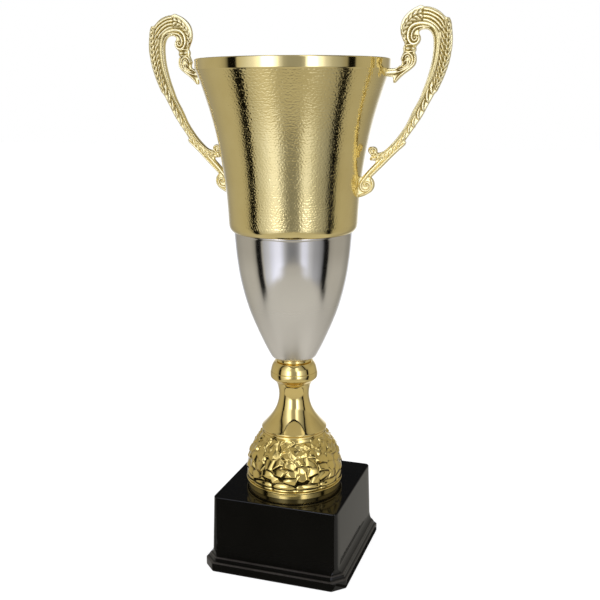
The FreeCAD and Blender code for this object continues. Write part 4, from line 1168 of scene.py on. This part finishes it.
def handle_shells():
    sh = Shells()
    loop = path(H_RUNS, 0.45)[:-1]
    sh.plate(loop, 1.75, 0.45)
    inner = np.array(H_RUNS[25])
    d0 = 2.9
    # thin rim along the inner edge, from the scroll to the curl
    run = natural_spline(inner, 1.2)
    sh.strand(offset_run(run, 0.62)[2:], 0.78, 2.75, nc=16)
    # smooth band beside it, which winds into the curl
    r1 = [(83.4, 366.2), (90.4, 374.6), (97.7, 386.4), (103.0, 396.0), (108.0, 405.8), (111.0, 412.8), (113.1, 419.0), (115.35, 425.6), (117.3, 433.0),
          (118.2, 440.5), (118.5, 447.5), (117.5, 453.6), (114.9, 458.2), (110.4, 460.6), (104.6, 461.3), (99.6, 460.3), (96.5, 457.6), (95.25, 454.0),
          (95.35, 450.0), (97.15, 446.9), (99.85, 445.8), (102.6, 446.8), (104.0, 449.6), (103.6, 452.3)]
    r1w = [0.7, 0.95, 1.15, 1.3, 1.45, 1.65, 1.8, 1.95, 1.95, 1.9, 1.8, 1.75, 1.75, 1.7, 1.5, 1.35, 1.2, 1.2, 1.2, 1.2, 1.2, 1.1, 1.0, 0.7]
    sh.strand(r1, r1w, [2.3] * 12 + [2.5, 2.6, 2.7] + [2.85] * 9, nc=24, flat=0.55)
    r2 = [(112.6, 457.9), (108.4, 458.7), (103.6, 458.5), (100.2, 456.9), (98.5, 454.0), (98.2, 450.8), (99.3, 448.8), (101.2, 448.6), (102.2, 450.4), (101.3, 452.2)]
    sh.strand(r2, [0.5, 0.9, 1.15, 1.15, 1.1, 1.05, 1.0, 0.95, 0.9, 0.6], 3.0, nc=18)
    sh.ball(100.3, 450.7, 1.1, 1.1, 2.9)
    # rope
    sh.strand([(121.6, 462.4), (122.7, 456.6), (122.65, 450.5), (121.95, 440.5), (120.9, 432.4), (119.3, 425.4), (117.75, 420.2), (116.0, 415.6), (115.0, 412.8)],
              [0.9, 1.7, 1.85, 1.8, 1.7, 1.6, 1.55, 1.5, 0.9], 3.05, "rope", 4.3, 0.72, 0.60, nc=28, step=0.25, scallop=0.12)
    # leaf band outside the rope
    sh.strand([(126.0, 465.1), (126.55, 461.5), (126.8, 456.5), (126.85, 450.5), (126.4, 440.5), (125.15, 432.4), (123.1, 425.4), (121.2, 419.9), (119.2, 415.0), (118.5, 410.4)],
              [0.4, 1.6, 2.4, 2.75, 2.85, 2.75, 2.6, 2.4, 1.9, 0.6], 3.05, "leaf", 4.5, 1.15, 0.52, nc=28, step=0.25, scallop=0.06)
    # ridges over the crest
    ridges = [
        [(105.9, 463.7), (110.0, 463.2), (113.1, 461.8), (116.3, 459.5), (118.7, 457.1), (120.2, 454.8)],
        [(105.9, 466.4), (110.7, 465.9), (114.2, 464.5), (117.3, 462.2), (120.1, 459.2), (121.6, 456.6)],
        [(106.0, 469.1), (111.4, 468.4), (115.3, 466.7), (118.8, 464.4), (121.6, 461.4), (122.8, 459.2)],
        [(106.2, 471.8), (112.1, 470.8), (116.7, 468.8), (121.0, 465.8), (123.6, 462.6)],
    ]
    for i, r in enumerate(ridges):
        sh.strand(r, [1.3, 1.4, 1.35, 1.25, 1.1, 0.8][:len(r)], 2.95 - 0.03 * i, nc=18)
    # leaf over the curl
    sh.strand([(105.6, 468.4), (100.8, 467.2), (96.4, 464.0), (93.1, 459.6), (91.7, 454.8), (92.4, 450.0), (93.6, 446.4)],
              [5.2, 4.7, 3.7, 3.0, 2.4, 1.7, 1.0], 2.95, "leaf", 4.1, 0.85, 0.46, nc=36, step=0.25, scallop=0.04, ends=(0, 1))
    # beads of the neck
    sh.ball(94.9, 442.6, 2.5, 1.75, 3.1)
    sh.ball(99.5, 442.4, 2.4, 1.7, 3.1)
    sh.strand([(93.0, 444.6), (96.8, 445.4), (100.6, 444.7)], 0.7, 2.7, nc=12)
    sh.strand([(92.8, 440.6), (96.8, 440.1), (100.3, 440.6)], 0.7, 2.7, nc=12)
    # acanthus body: swelling, then curled leaves over it
    sh.ball(96.2, 434.4, 4.9, 6.2, 2.7, 20, 12)
    sh.strand([(90.9, 433.2), (91.9, 436.9), (94.9, 439.0), (97.9, 437.9), (99.3, 434.5), (98.8, 431.2), (96.3, 428.5), (92.5, 426.4), (88.6, 425.0), (84.7, 424.2)],
              [0.6, 1.0, 1.05, 1.05, 1.0, 1.0, 1.0, 0.95, 0.8, 0.5], 3.25, nc=16)
    sh.strand([(93.3, 434.6), (94.0, 436.4), (95.7, 437.1), (97.2, 435.0), (97.0, 431.7), (95.1, 429.1), (91.8, 427.5), (88.0, 426.6)],
              [0.5, 0.8, 0.8, 0.85, 0.85, 0.8, 0.75, 0.4], 3.3, nc=16)
    sh.strand([(92.2, 431.0), (94.4, 433.6), (95.3, 431.9), (93.6, 429.7), (90.8, 428.6)], [0.5, 0.8, 0.8, 0.8, 0.5], 3.2, nc=14)
    rib_o = [(100.9, 438.6), (101.3, 434.2), (100.6, 431.1), (97.6, 427.9), (93.3, 424.8), (89.5, 422.0), (87.0, 419.2), (85.4, 416.9)]
    sh.strand(rib_o, [0.7, 0.9, 1.0, 1.1, 1.15, 1.15, 1.0, 0.5], 2.7, nc=16)
    # foot against the cup
    sh.strand([(75.5, 424.7), (80.0, 424.8), (84.5, 424.9), (88.2, 425.6)], [2.9, 2.9, 2.6, 1.6], 3.2, nc=20, ends=(0, 1))
    sh.strand([(77.0, 427.0), (82.0, 427.0), (86.3, 427.3), (89.6, 429.6)], [0.8, 0.8, 0.8, 0.6], 2.7, nc=12, ends=(0, 1))
    # long leaves down the outside of the lower stem
    lobes = [
        [(115.3, 417.6), (114.3, 413.8), (114.8, 410.0), (115.9, 407.5)],
        [(112.5, 412.4), (111.3, 407.2), (111.8, 403.4), (112.9, 400.7)],
        [(109.6, 404.4), (108.3, 399.6), (108.6, 396.4), (109.6, 394.3)],
        [(106.0, 397.4), (104.6, 392.5), (105.2, 389.2), (106.2, 387.8)],
        [(102.2, 390.8), (100.8, 386.1), (101.4, 383.1), (102.4, 381.9)],
        [(99.0, 385.2), (97.5, 381.2), (97.8, 378.5), (98.7, 377.2)],
        [(95.9, 379.4), (94.1, 375.8), (94.3, 373.7), (95.0, 372.6)],
    ]
    for i, l in enumerate(lobes):
        w = 1.55 - 0.05 * i
        sh.strand(l, [0.5, w, w * 0.95, 0.6], [2.3, 3.1, 2.9, 2.2], nc=16, step=0.3)
    # twisted part
    tw = [[(94.0, 376.0), (93.0, 373.2), (91.6, 370.0)], [(90.9, 372.4), (89.6, 368.6), (88.2, 364.9)], [(87.3, 368.0), (86.1, 364.8), (84.9, 361.6)],
          [(83.5, 364.2), (82.6, 361.7), (81.6, 359.2)], [(79.9, 362.0), (79.1, 359.8), (78.2, 357.4)], [(76.3, 360.8), (75.6, 358.7), (74.9, 356.4)],
          [(73.2, 359.8), (72.8, 358.0), (72.2, 356.0)]]
    for i, l in enumerate(tw):
        w = 1.6 - 0.06 * i
        sh.strand(l, [0.6, w, 0.7], [2.3, 3.0, 2.3], nc=16, step=0.3)
    # straight outer rib, inner stem and the volute they end in
    sh.strand([(94.6, 369.6), (86.0, 361.9), (76.0, 351.9), (66.0, 342.1)], [1.15, 1.3, 1.3, 1.2], 3.0, nc=18)
    sh.strand([(77.4, 357.6), (72.3, 352.3), (66.5, 346.4), (62.0, 340.9), (59.6, 337.6), (58.7, 334.6), (60.3, 331.6), (63.4, 330.9), (66.2, 332.6), (67.0, 335.4), (65.6, 337.5), (63.2, 337.5), (62.2, 335.6), (63.2, 334.4)],
              [1.3, 1.75, 1.8, 1.6, 1.3, 1.25, 1.2, 1.15, 1.1, 1.05, 1.0, 0.95, 0.9, 0.6], 2.9, nc=18)
    sh.ball(64.2, 335.4, 1.0, 1.0, 2.9)
    sh.strand([(66.6, 341.4), (68.2, 339.4), (69.0, 336.8), (68.7, 333.8), (66.9, 331.0), (64.0, 329.0), (60.6, 327.6), (57.0, 326.6)],
              [1.1, 1.1, 1.15, 1.15, 1.15, 1.1, 1.0, 0.7], 2.75, nc=16)
    # small scroll with its base
    sh.strand([(75.4, 361.2), (72.8, 360.6), (71.3, 361.6), (71.2, 363.9), (69.3, 365.7), (66.8, 364.9), (66.2, 362.4), (67.9, 360.4), (70.0, 361.1), (70.0, 362.9), (68.7, 363.7)],
              [0.8, 0.9, 0.9, 0.9, 0.95, 0.95, 0.95, 0.9, 0.85, 0.8, 0.6], 2.8, nc=14)
    sh.strand([(67.0, 356.7), (69.6, 356.9), (72.2, 357.0)], 1.3, 3.0, nc=16)
    sh.strand([(68.4, 358.9), (71.4, 359.3), (74.0, 359.3)], 0.9, 2.6, nc=14)
    return sh


WALL_CURVE = natural_spline(cup_out[1:], 0.5)


def cup_wall_r(z):
    return np.where(z > 427.1, 79.75 + (np.clip(z, 427.6, 436) - 427.6) * 0.03, np.interp(z, WALL_CURVE[:, 1], WALL_CURVE[:, 0]))


def build_handles():
    sh = handle_shells()
    V = np.concatenate(sh.v) * MM
    me = bpy.data.meshes.new("handle_shells")
    me.from_pydata(V.tolist(), [], sh.f)
    me.update()
    tmp = bpy.data.objects.new("handle_shells", me)
    bpy.context.scene.collection.objects.link(tmp)
    rm = tmp.modifiers.new("fuse", "REMESH")
    rm.mode = "VOXEL"
    rm.voxel_size = 0.00030
    rm.use_smooth_shade = True
    sm = tmp.modifiers.new("soften", "SMOOTH")
    sm.factor = 0.5
    sm.iterations = 2
    dg = bpy.context.evaluated_depsgraph_get()
    ev = tmp.evaluated_get(dg)
    base = bpy.data.meshes.new_from_object(ev)
    co = np.empty(len(base.vertices) * 3)
    base.vertices.foreach_get("co", co)
    co = co.reshape(-1, 3) / MM
    # the ends that meet the cup follow its wall
    rr = np.hypot(co[:, 0], co[:, 1])
    rw = cup_wall_r(co[:, 2]) + 0.03
    near = (rr < rw) & (co[:, 0] > 0)
    xs = np.sqrt(np.clip(rw ** 2 - co[:, 1] ** 2, 0, None))
    co[near, 0] = xs[near]
    base.vertices.foreach_set("co", (co * MM).ravel())
    base.update()
    faces = [list(p_.vertices) for p_ in base.polygons]
    bpy.data.objects.remove(tmp)
    bpy.data.meshes.remove(me)
    store_relief(add_mesh("ornate_handle_right", co, [faces], M_HANDLE, ["handle_right"]))
    left = co * np.array([-1.0, 1.0, 1.0])
    store_relief(add_mesh("ornate_handle_left", left, [[f[::-1] for f in faces]], M_HANDLE, ["handle_left"]))
    bpy.data.meshes.remove(base)


build_handles()

# ------------------------------------------------------------------ carried-over CAD nodes: their materials
for node, mat in (("base_felt_pad", M_FELT), ("base_closing_plate", M_BLACK), ("plinth_weight", M_CAST), ("base_washer", M_ZINC),
                  ("base_nut", M_ZINC), ("tie_rod", M_ZINC), ("cup_washer", M_ZINC), ("cup_nut", M_ZINC), ("handle_screws", M_ZINC),
                  ("handle_washers", M_ZINC)):
    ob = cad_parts[node]
    ob.data.materials.clear()
    ob.data.materials.append(mat)


# ------------------------------------------------------------------ studio
def build_world():
    """Studio all round: softboxes left and right of the camera, thin black flags beside them, grey walls, and a dark
    ceiling behind the object. Bearings are measured from the camera's direction, positive to the right."""
    w = bpy.data.worlds.new("studio")
    w.use_nodes = True
    nt = w.node_tree
    nt.nodes.clear()
    out = nt.nodes.new("ShaderNodeOutputWorld")
    tc = nt.nodes.new("ShaderNodeTexCoord")

    def dot(vec):
        n = nt.nodes.new("ShaderNodeVectorMath")
        n.operation = "DOT_PRODUCT"
        nt.links.new(tc.outputs["Generated"], n.inputs[0])
        n.inputs[1].default_value = vec
        return n.outputs["Value"]

    a = math_node(nt, "ARCTAN2", dot(right0), dot(toward))
    deg = math_node(nt, "MULTIPLY", a, 180 / math.pi)
    f_left = math_node(nt, "ADD", math_node(nt, "MULTIPLY", deg, 1 / 180.0), 1.0, clamp=True)
    f_right = math_node(nt, "MULTIPLY", deg, 1 / 180.0, clamp=True)
    is_right = math_node(nt, "GREATER_THAN", deg, 0.0)
    z = dot(Vector((0, 0, 1)))
    el = math_node(nt, "MULTIPLY", math_node(nt, "ARCSINE", z), 180 / math.pi)
    # higher up the panels and flags lean inwards, more on the left
    lean = math_node(nt, "MULTIPLY", remap(nt, el, 38.0, 58.0, 0.0, 1.0),
                     math_node(nt, "SUBTRACT", 0.158, math_node(nt, "MULTIPLY", is_right, 0.14)))
    deg_w = math_node(nt, "MULTIPLY", deg, math_node(nt, "ADD", lean, 1.0))
    w_left = math_node(nt, "ADD", math_node(nt, "MULTIPLY", deg_w, 1 / 180.0), 1.0, clamp=True)
    w_right = math_node(nt, "MULTIPLY", deg_w, 1 / 180.0, clamp=True)

    def colour(deg_, v, kind):
        ad = abs(deg_)
        if kind == "low":
            t = (1.0, 0.965, 0.900)
        elif ad < 63:
            t = (1.0, 1.04, 1.26) if v > 0.9 else (1.0, 1.025, 1.13)
        elif ad > 150:
            t = (1.0, 1.02, 1.10)
        else:
            t = (1.03, 0.985, 0.880)
        return (v * t[0], v * t[1], v * t[2])

    def band(left, right, kind, fl_=None, fr_=None):
        cl = ramp(nt, fl_ or f_left, [(d / 180.0 + 1.0, colour(d, v, kind)) for d, v in left])
        cr_ = ramp(nt, fr_ or f_right, [(d / 180.0, colour(d, v, kind)) for d, v in right])
        return mix_rgb(nt, is_right, cl, cr_)

    eye = band([(-180, 1.2), (-168, 1.2), (-161, .75), (-153, .46), (-146, .40), (-138, .45), (-126, .52), (-98, .54), (-90, .50), (-84, .40),
                (-80.5, .22), (-78, .006), (-68, .006), (-65.5, .62), (-55, .84), (-46, 1.12), (-38, 1.7), (-33.5, 3.6), (-26, 3.8), (-19, 2.1),
                (-14.5, .95), (-10, .50), (-5, .40), (0, .39)],
               [(0, .39), (9, .41), (13.5, .60), (16, 2.0), (18.5, 3.6), (25.5, 3.6), (30, 2.0), (38, .95), (46, .60), (55, .47), (64, .34), (67, .006),
                (75, .006), (77.5, .45), (88, .53), (118, .53), (132, .45), (143, .38), (149, .45), (155, .70), (162, 1.1), (180, 1.2)], "eye")
    mid = band([(-180, 1.0), (-168, .85), (-158, .55), (-148, .38), (-134, .44), (-118, .52), (-95, .55), (-90, .52), (-84, .42), (-81, .25),
                (-78.5, .006), (-68, .006), (-65.8, .50), (-60, .62), (-51, .80), (-43, 1.0), (-36, 1.2), (-28, 1.25), (-23, 1.0), (-17, .60),
                (-11, .34), (-6, .28), (0, .27)],
               [(0, .27), (4, .30), (9, .42), (13, .72), (18, 1.1), (25, 1.05), (33, .72), (42, .48), (51, .40), (59, .27), (62.2, .10), (64.4, .006),
                (73.4, .006), (75.6, .34), (80, .46), (90, .51), (118, .49), (133, .38), (143, .33), (150, .42), (158, .85), (170, 1.05), (180, 1.0)], "eye")
    low = band([(-180, .72), (-165, .55), (-150, .46), (-128, .53), (-109, .58), (-92, .55), (-84, .46), (-82, .32), (-80, .008), (-68.5, .008),
                (-66, .42), (-57, .58), (-44, .74), (-33, .78), (-24, .62), (-12, .40), (0, .34)],
               [(0, .34), (10, .40), (18, .56), (30, .56), (42, .50), (52, .46), (60, .42), (66, .30), (68.5, .008), (80, .008), (82, .44), (84, .54),
                (100, .56), (118, .51), (134, .40), (142, .40), (149, .62), (160, .90), (172, .85), (180, .72)], "low")
    high = band([(-180, .04), (-162, .05), (-152, .10), (-144, .38), (-130, .46), (-100, .51), (-88, .48), (-82, .25), (-78.5, .01), (-74, .01),
                 (-71, .30), (-65, .52), (-56, .66), (-48, 1.0), (-42, 1.5), (-36, 2.0), (-27, 1.9), (-21, 1.2), (-15, .62), (-9, .45), (0, .44)],
                [(0, .44), (6, .48), (9.5, 1.2), (13, 2.0), (20, 2.0), (25, 1.15), (31, .72), (38, .52), (47, .40), (57, .28), (60, .01), (65, .01),
                 (68, .30), (75, .45), (91, .50), (108, .44), (125, .37), (138, .34), (146, .28), (153, .12), (162, .05), (180, .04)], "eye", w_left, w_right)
    top = band([(-180, .52), (-84, .50), (-79, .30), (-77.5, .015), (-73, .015), (-71, .80), (-64, 1.05), (-54, .60), (-40, .52), (0, .52)],
               [(0, .52), (38, .52), (46, .95), (55, 1.05), (59.5, .80), (61, .015), (64.5, .015), (67, .40), (74, .50), (180, .52)], "low", w_left, w_right)

    def step(a0, a1):
        return remap(nt, el, a0, a1, 0.0, 1.0, smooth=True)

    c = mix_rgb(nt, step(-58.0, -50.0), (0.655, 0.632, 0.597), low)
    c = mix_rgb(nt, step(-35.0, -26.0), c, mid)
    c = mix_rgb(nt, step(-14.0, -5.0), c, eye)
    c = mix_rgb(nt, step(13.0, 21.0), c, high)
    # the softboxes end in a thin dark edge, lowest straight in front; above it a pale ceiling panel
    near = math_node(nt, "MULTIPLY", math_node(nt, "MINIMUM", math_node(nt, "ABSOLUTE", deg), 62.0), 1 / 57.0)
    above = math_node(nt, "SUBTRACT", el, math_node(nt, "ADD", math_node(nt, "MULTIPLY", math_node(nt, "POWER", near, 1.3), 10.0), 46.2))
    strength = remap(nt, math_node(nt, "ABSOLUTE", deg), 20.0, 64.0, 1.0, 0.55)
    strength = math_node(nt, "MULTIPLY", strength, remap(nt, math_node(nt, "ABSOLUTE", deg), 64.0, 68.0, 1.0, 0.0))
    c = mix_rgb(nt, math_node(nt, "MULTIPLY", remap(nt, above, -1.2, 0.0, 0.0, 1.0, smooth=True), strength), c, (0.01, 0.01, 0.008))
    c = mix_rgb(nt, remap(nt, math_node(nt, "ADD", above, math_node(nt, "MULTIPLY", near, 2.2)), 3.6, 4.8, 0.0, 1.0, smooth=True), c, top)
    c = mix_rgb(nt, step(68.0, 73.0), c, (0.52, 0.51, 0.465))
    studio = nt.nodes.new("ShaderNodeBackground")
    nt.links.new(c, studio.inputs[0])
    white = nt.nodes.new("ShaderNodeBackground")
    white.inputs[0].default_value = (1, 1, 1, 1)
    white.inputs[1].default_value = 1.0
    lp = nt.nodes.new("ShaderNodeLightPath")
    mx = nt.nodes.new("ShaderNodeMixShader")
    nt.links.new(lp.outputs["Is Camera Ray"], mx.inputs[0])
    nt.links.new(studio.outputs[0], mx.inputs[1])
    nt.links.new(white.outputs[0], mx.inputs[2])
    nt.links.new(mx.outputs[0], out.inputs[0])
    bpy.context.scene.world = w


build_world()


def plane(name, x0, y0, x1, y1, z, mat):
    me = bpy.data.meshes.new(name)
    me.from_pydata([(x0, y0, z), (x1, y0, z), (x1, y1, z), (x0, y1, z)], [], [(0, 1, 2, 3)])
    me.materials.append(mat)
    ob = bpy.data.objects.new(name, me)
    bpy.context.scene.collection.objects.link(ob)
    return ob


floor_mat, fnt, fb = new_mat("pale_floor")
fb.inputs["Base Color"].default_value = (0.5, 0.5, 0.5, 1)
fb.inputs["Roughness"].default_value = 1.0
fb.inputs["Specular IOR Level"].default_value = 0.0
fb.inputs["Emission Color"].default_value = (1, 1, 1, 1)
fb.inputs["Emission Strength"].default_value = 0.84
floor = plane("floor", -6, -6, 6, 6, 0.0, floor_mat)
floor.visible_glossy = False

table_mat, tnt, tb = new_mat("white_table")
tb.inputs["Base Color"].default_value = (0, 0, 0, 1)
tb.inputs["Roughness"].default_value = 1.0
tb.inputs["Specular IOR Level"].default_value = 0.0
tb.inputs["Emission Strength"].default_value = 1.0
_, t_r, _, _ = polar(tnt)
tnt.links.new(mix_rgb(tnt, remap(tnt, t_r, 0.25, 0.70, 0.0, 1.0), (0.660, 0.640, 0.600), (0.545, 0.525, 0.480)), tb.inputs["Emission Color"])
outline = [(0, 725), (130, 690), (310, 440), (350, 210), (352, 120), (300, 62), (-300, 62), (-352, 120), (-350, 210), (-310, 440), (-130, 690)]
t_me = bpy.data.meshes.new("white_table")
t_pts, t_cov = [], []
for k_, cov_ in ((0.86, 1.0), (1.0, 0.62), (1.14, 0.0)):
    for x_, y_ in outline:
        back_ = y_ < 70
        f_ = k_ if not back_ else 1.0 + 0.6 * (k_ - 1.0)
        t_pts.append(tuple((right0 * x_ * f_ + toward * (62 + (y_ - 62) * k_ - (14 * (k_ - 0.86) / 0.28 if back_ else 0))) * MM + Vector((0, 0, 0.0004))))
        t_cov.append(cov_)
n_ = len(outline)
t_fac = [tuple(range(n_))[::-1]]
for k_ in range(2):
    for i_ in range(n_):
        a_, b_ = k_ * n_ + i_, k_ * n_ + (i_ + 1) % n_
        t_fac.append((a_, b_, b_ + n_, a_ + n_))
t_me.from_pydata(t_pts, [], t_fac)
t_me.attributes.new("cover", "FLOAT", "POINT").data.foreach_set("value", t_cov)
t_me.materials.append(table_mat)
t_at = tnt.nodes.new("ShaderNodeAttribute")
t_at.attribute_name = "cover"
t_tr = tnt.nodes.new("ShaderNodeBsdfTransparent")
t_mx = tnt.nodes.new("ShaderNodeMixShader")
tnt.links.new(t_at.outputs["Fac"], t_mx.inputs[0])
tnt.links.new(t_tr.outputs[0], t_mx.inputs[1])
tnt.links.new(tb.outputs[0], t_mx.inputs[2])
tnt.links.new(t_mx.outputs[0], [n for n in tnt.nodes if n.type == "OUTPUT_MATERIAL"][0].inputs[0])
table = bpy.data.objects.new("white_table", t_me)
bpy.context.scene.collection.objects.link(table)
table.visible_camera = False
table.visible_diffuse = False
table.visible_shadow = False

# painted shade: a slanted black card in front of the plinth and two black strips on the floor by its skirt, seen only
# in reflections, stand in for the shade there
card_mat, cnt, cb = new_mat("shade_card")
cb.inputs["Base Color"].default_value = (0.01, 0.01, 0.01, 1)
cb.inputs["Roughness"].default_value = 0.9
card = plane("shade_card", -0.073, -0.098, 0.066, -0.068, 0.0008, card_mat)
for i_, z_ in ((2, 0.063), (3, 0.063)):
    card.data.vertices[i_].co.z = z_
card.data.update()
foot_mat, _, ftb = new_mat("shade_strip")
ftb.inputs["Base Color"].default_value = (0.01, 0.01, 0.01, 1)
ftb.inputs["Roughness"].default_value = 0.9
foot_f = plane("shade_strip_front", -0.076, -0.100, 0.066, -0.0648, 0.0007, foot_mat)
foot_r = plane("shade_strip_right", 0.0648, -0.0648, 0.0692, 0.060, 0.0007, foot_mat)
for ob_ in (card, foot_f, foot_r):
    ob_.visible_camera = False
    ob_.visible_diffuse = False
    ob_.visible_shadow = False
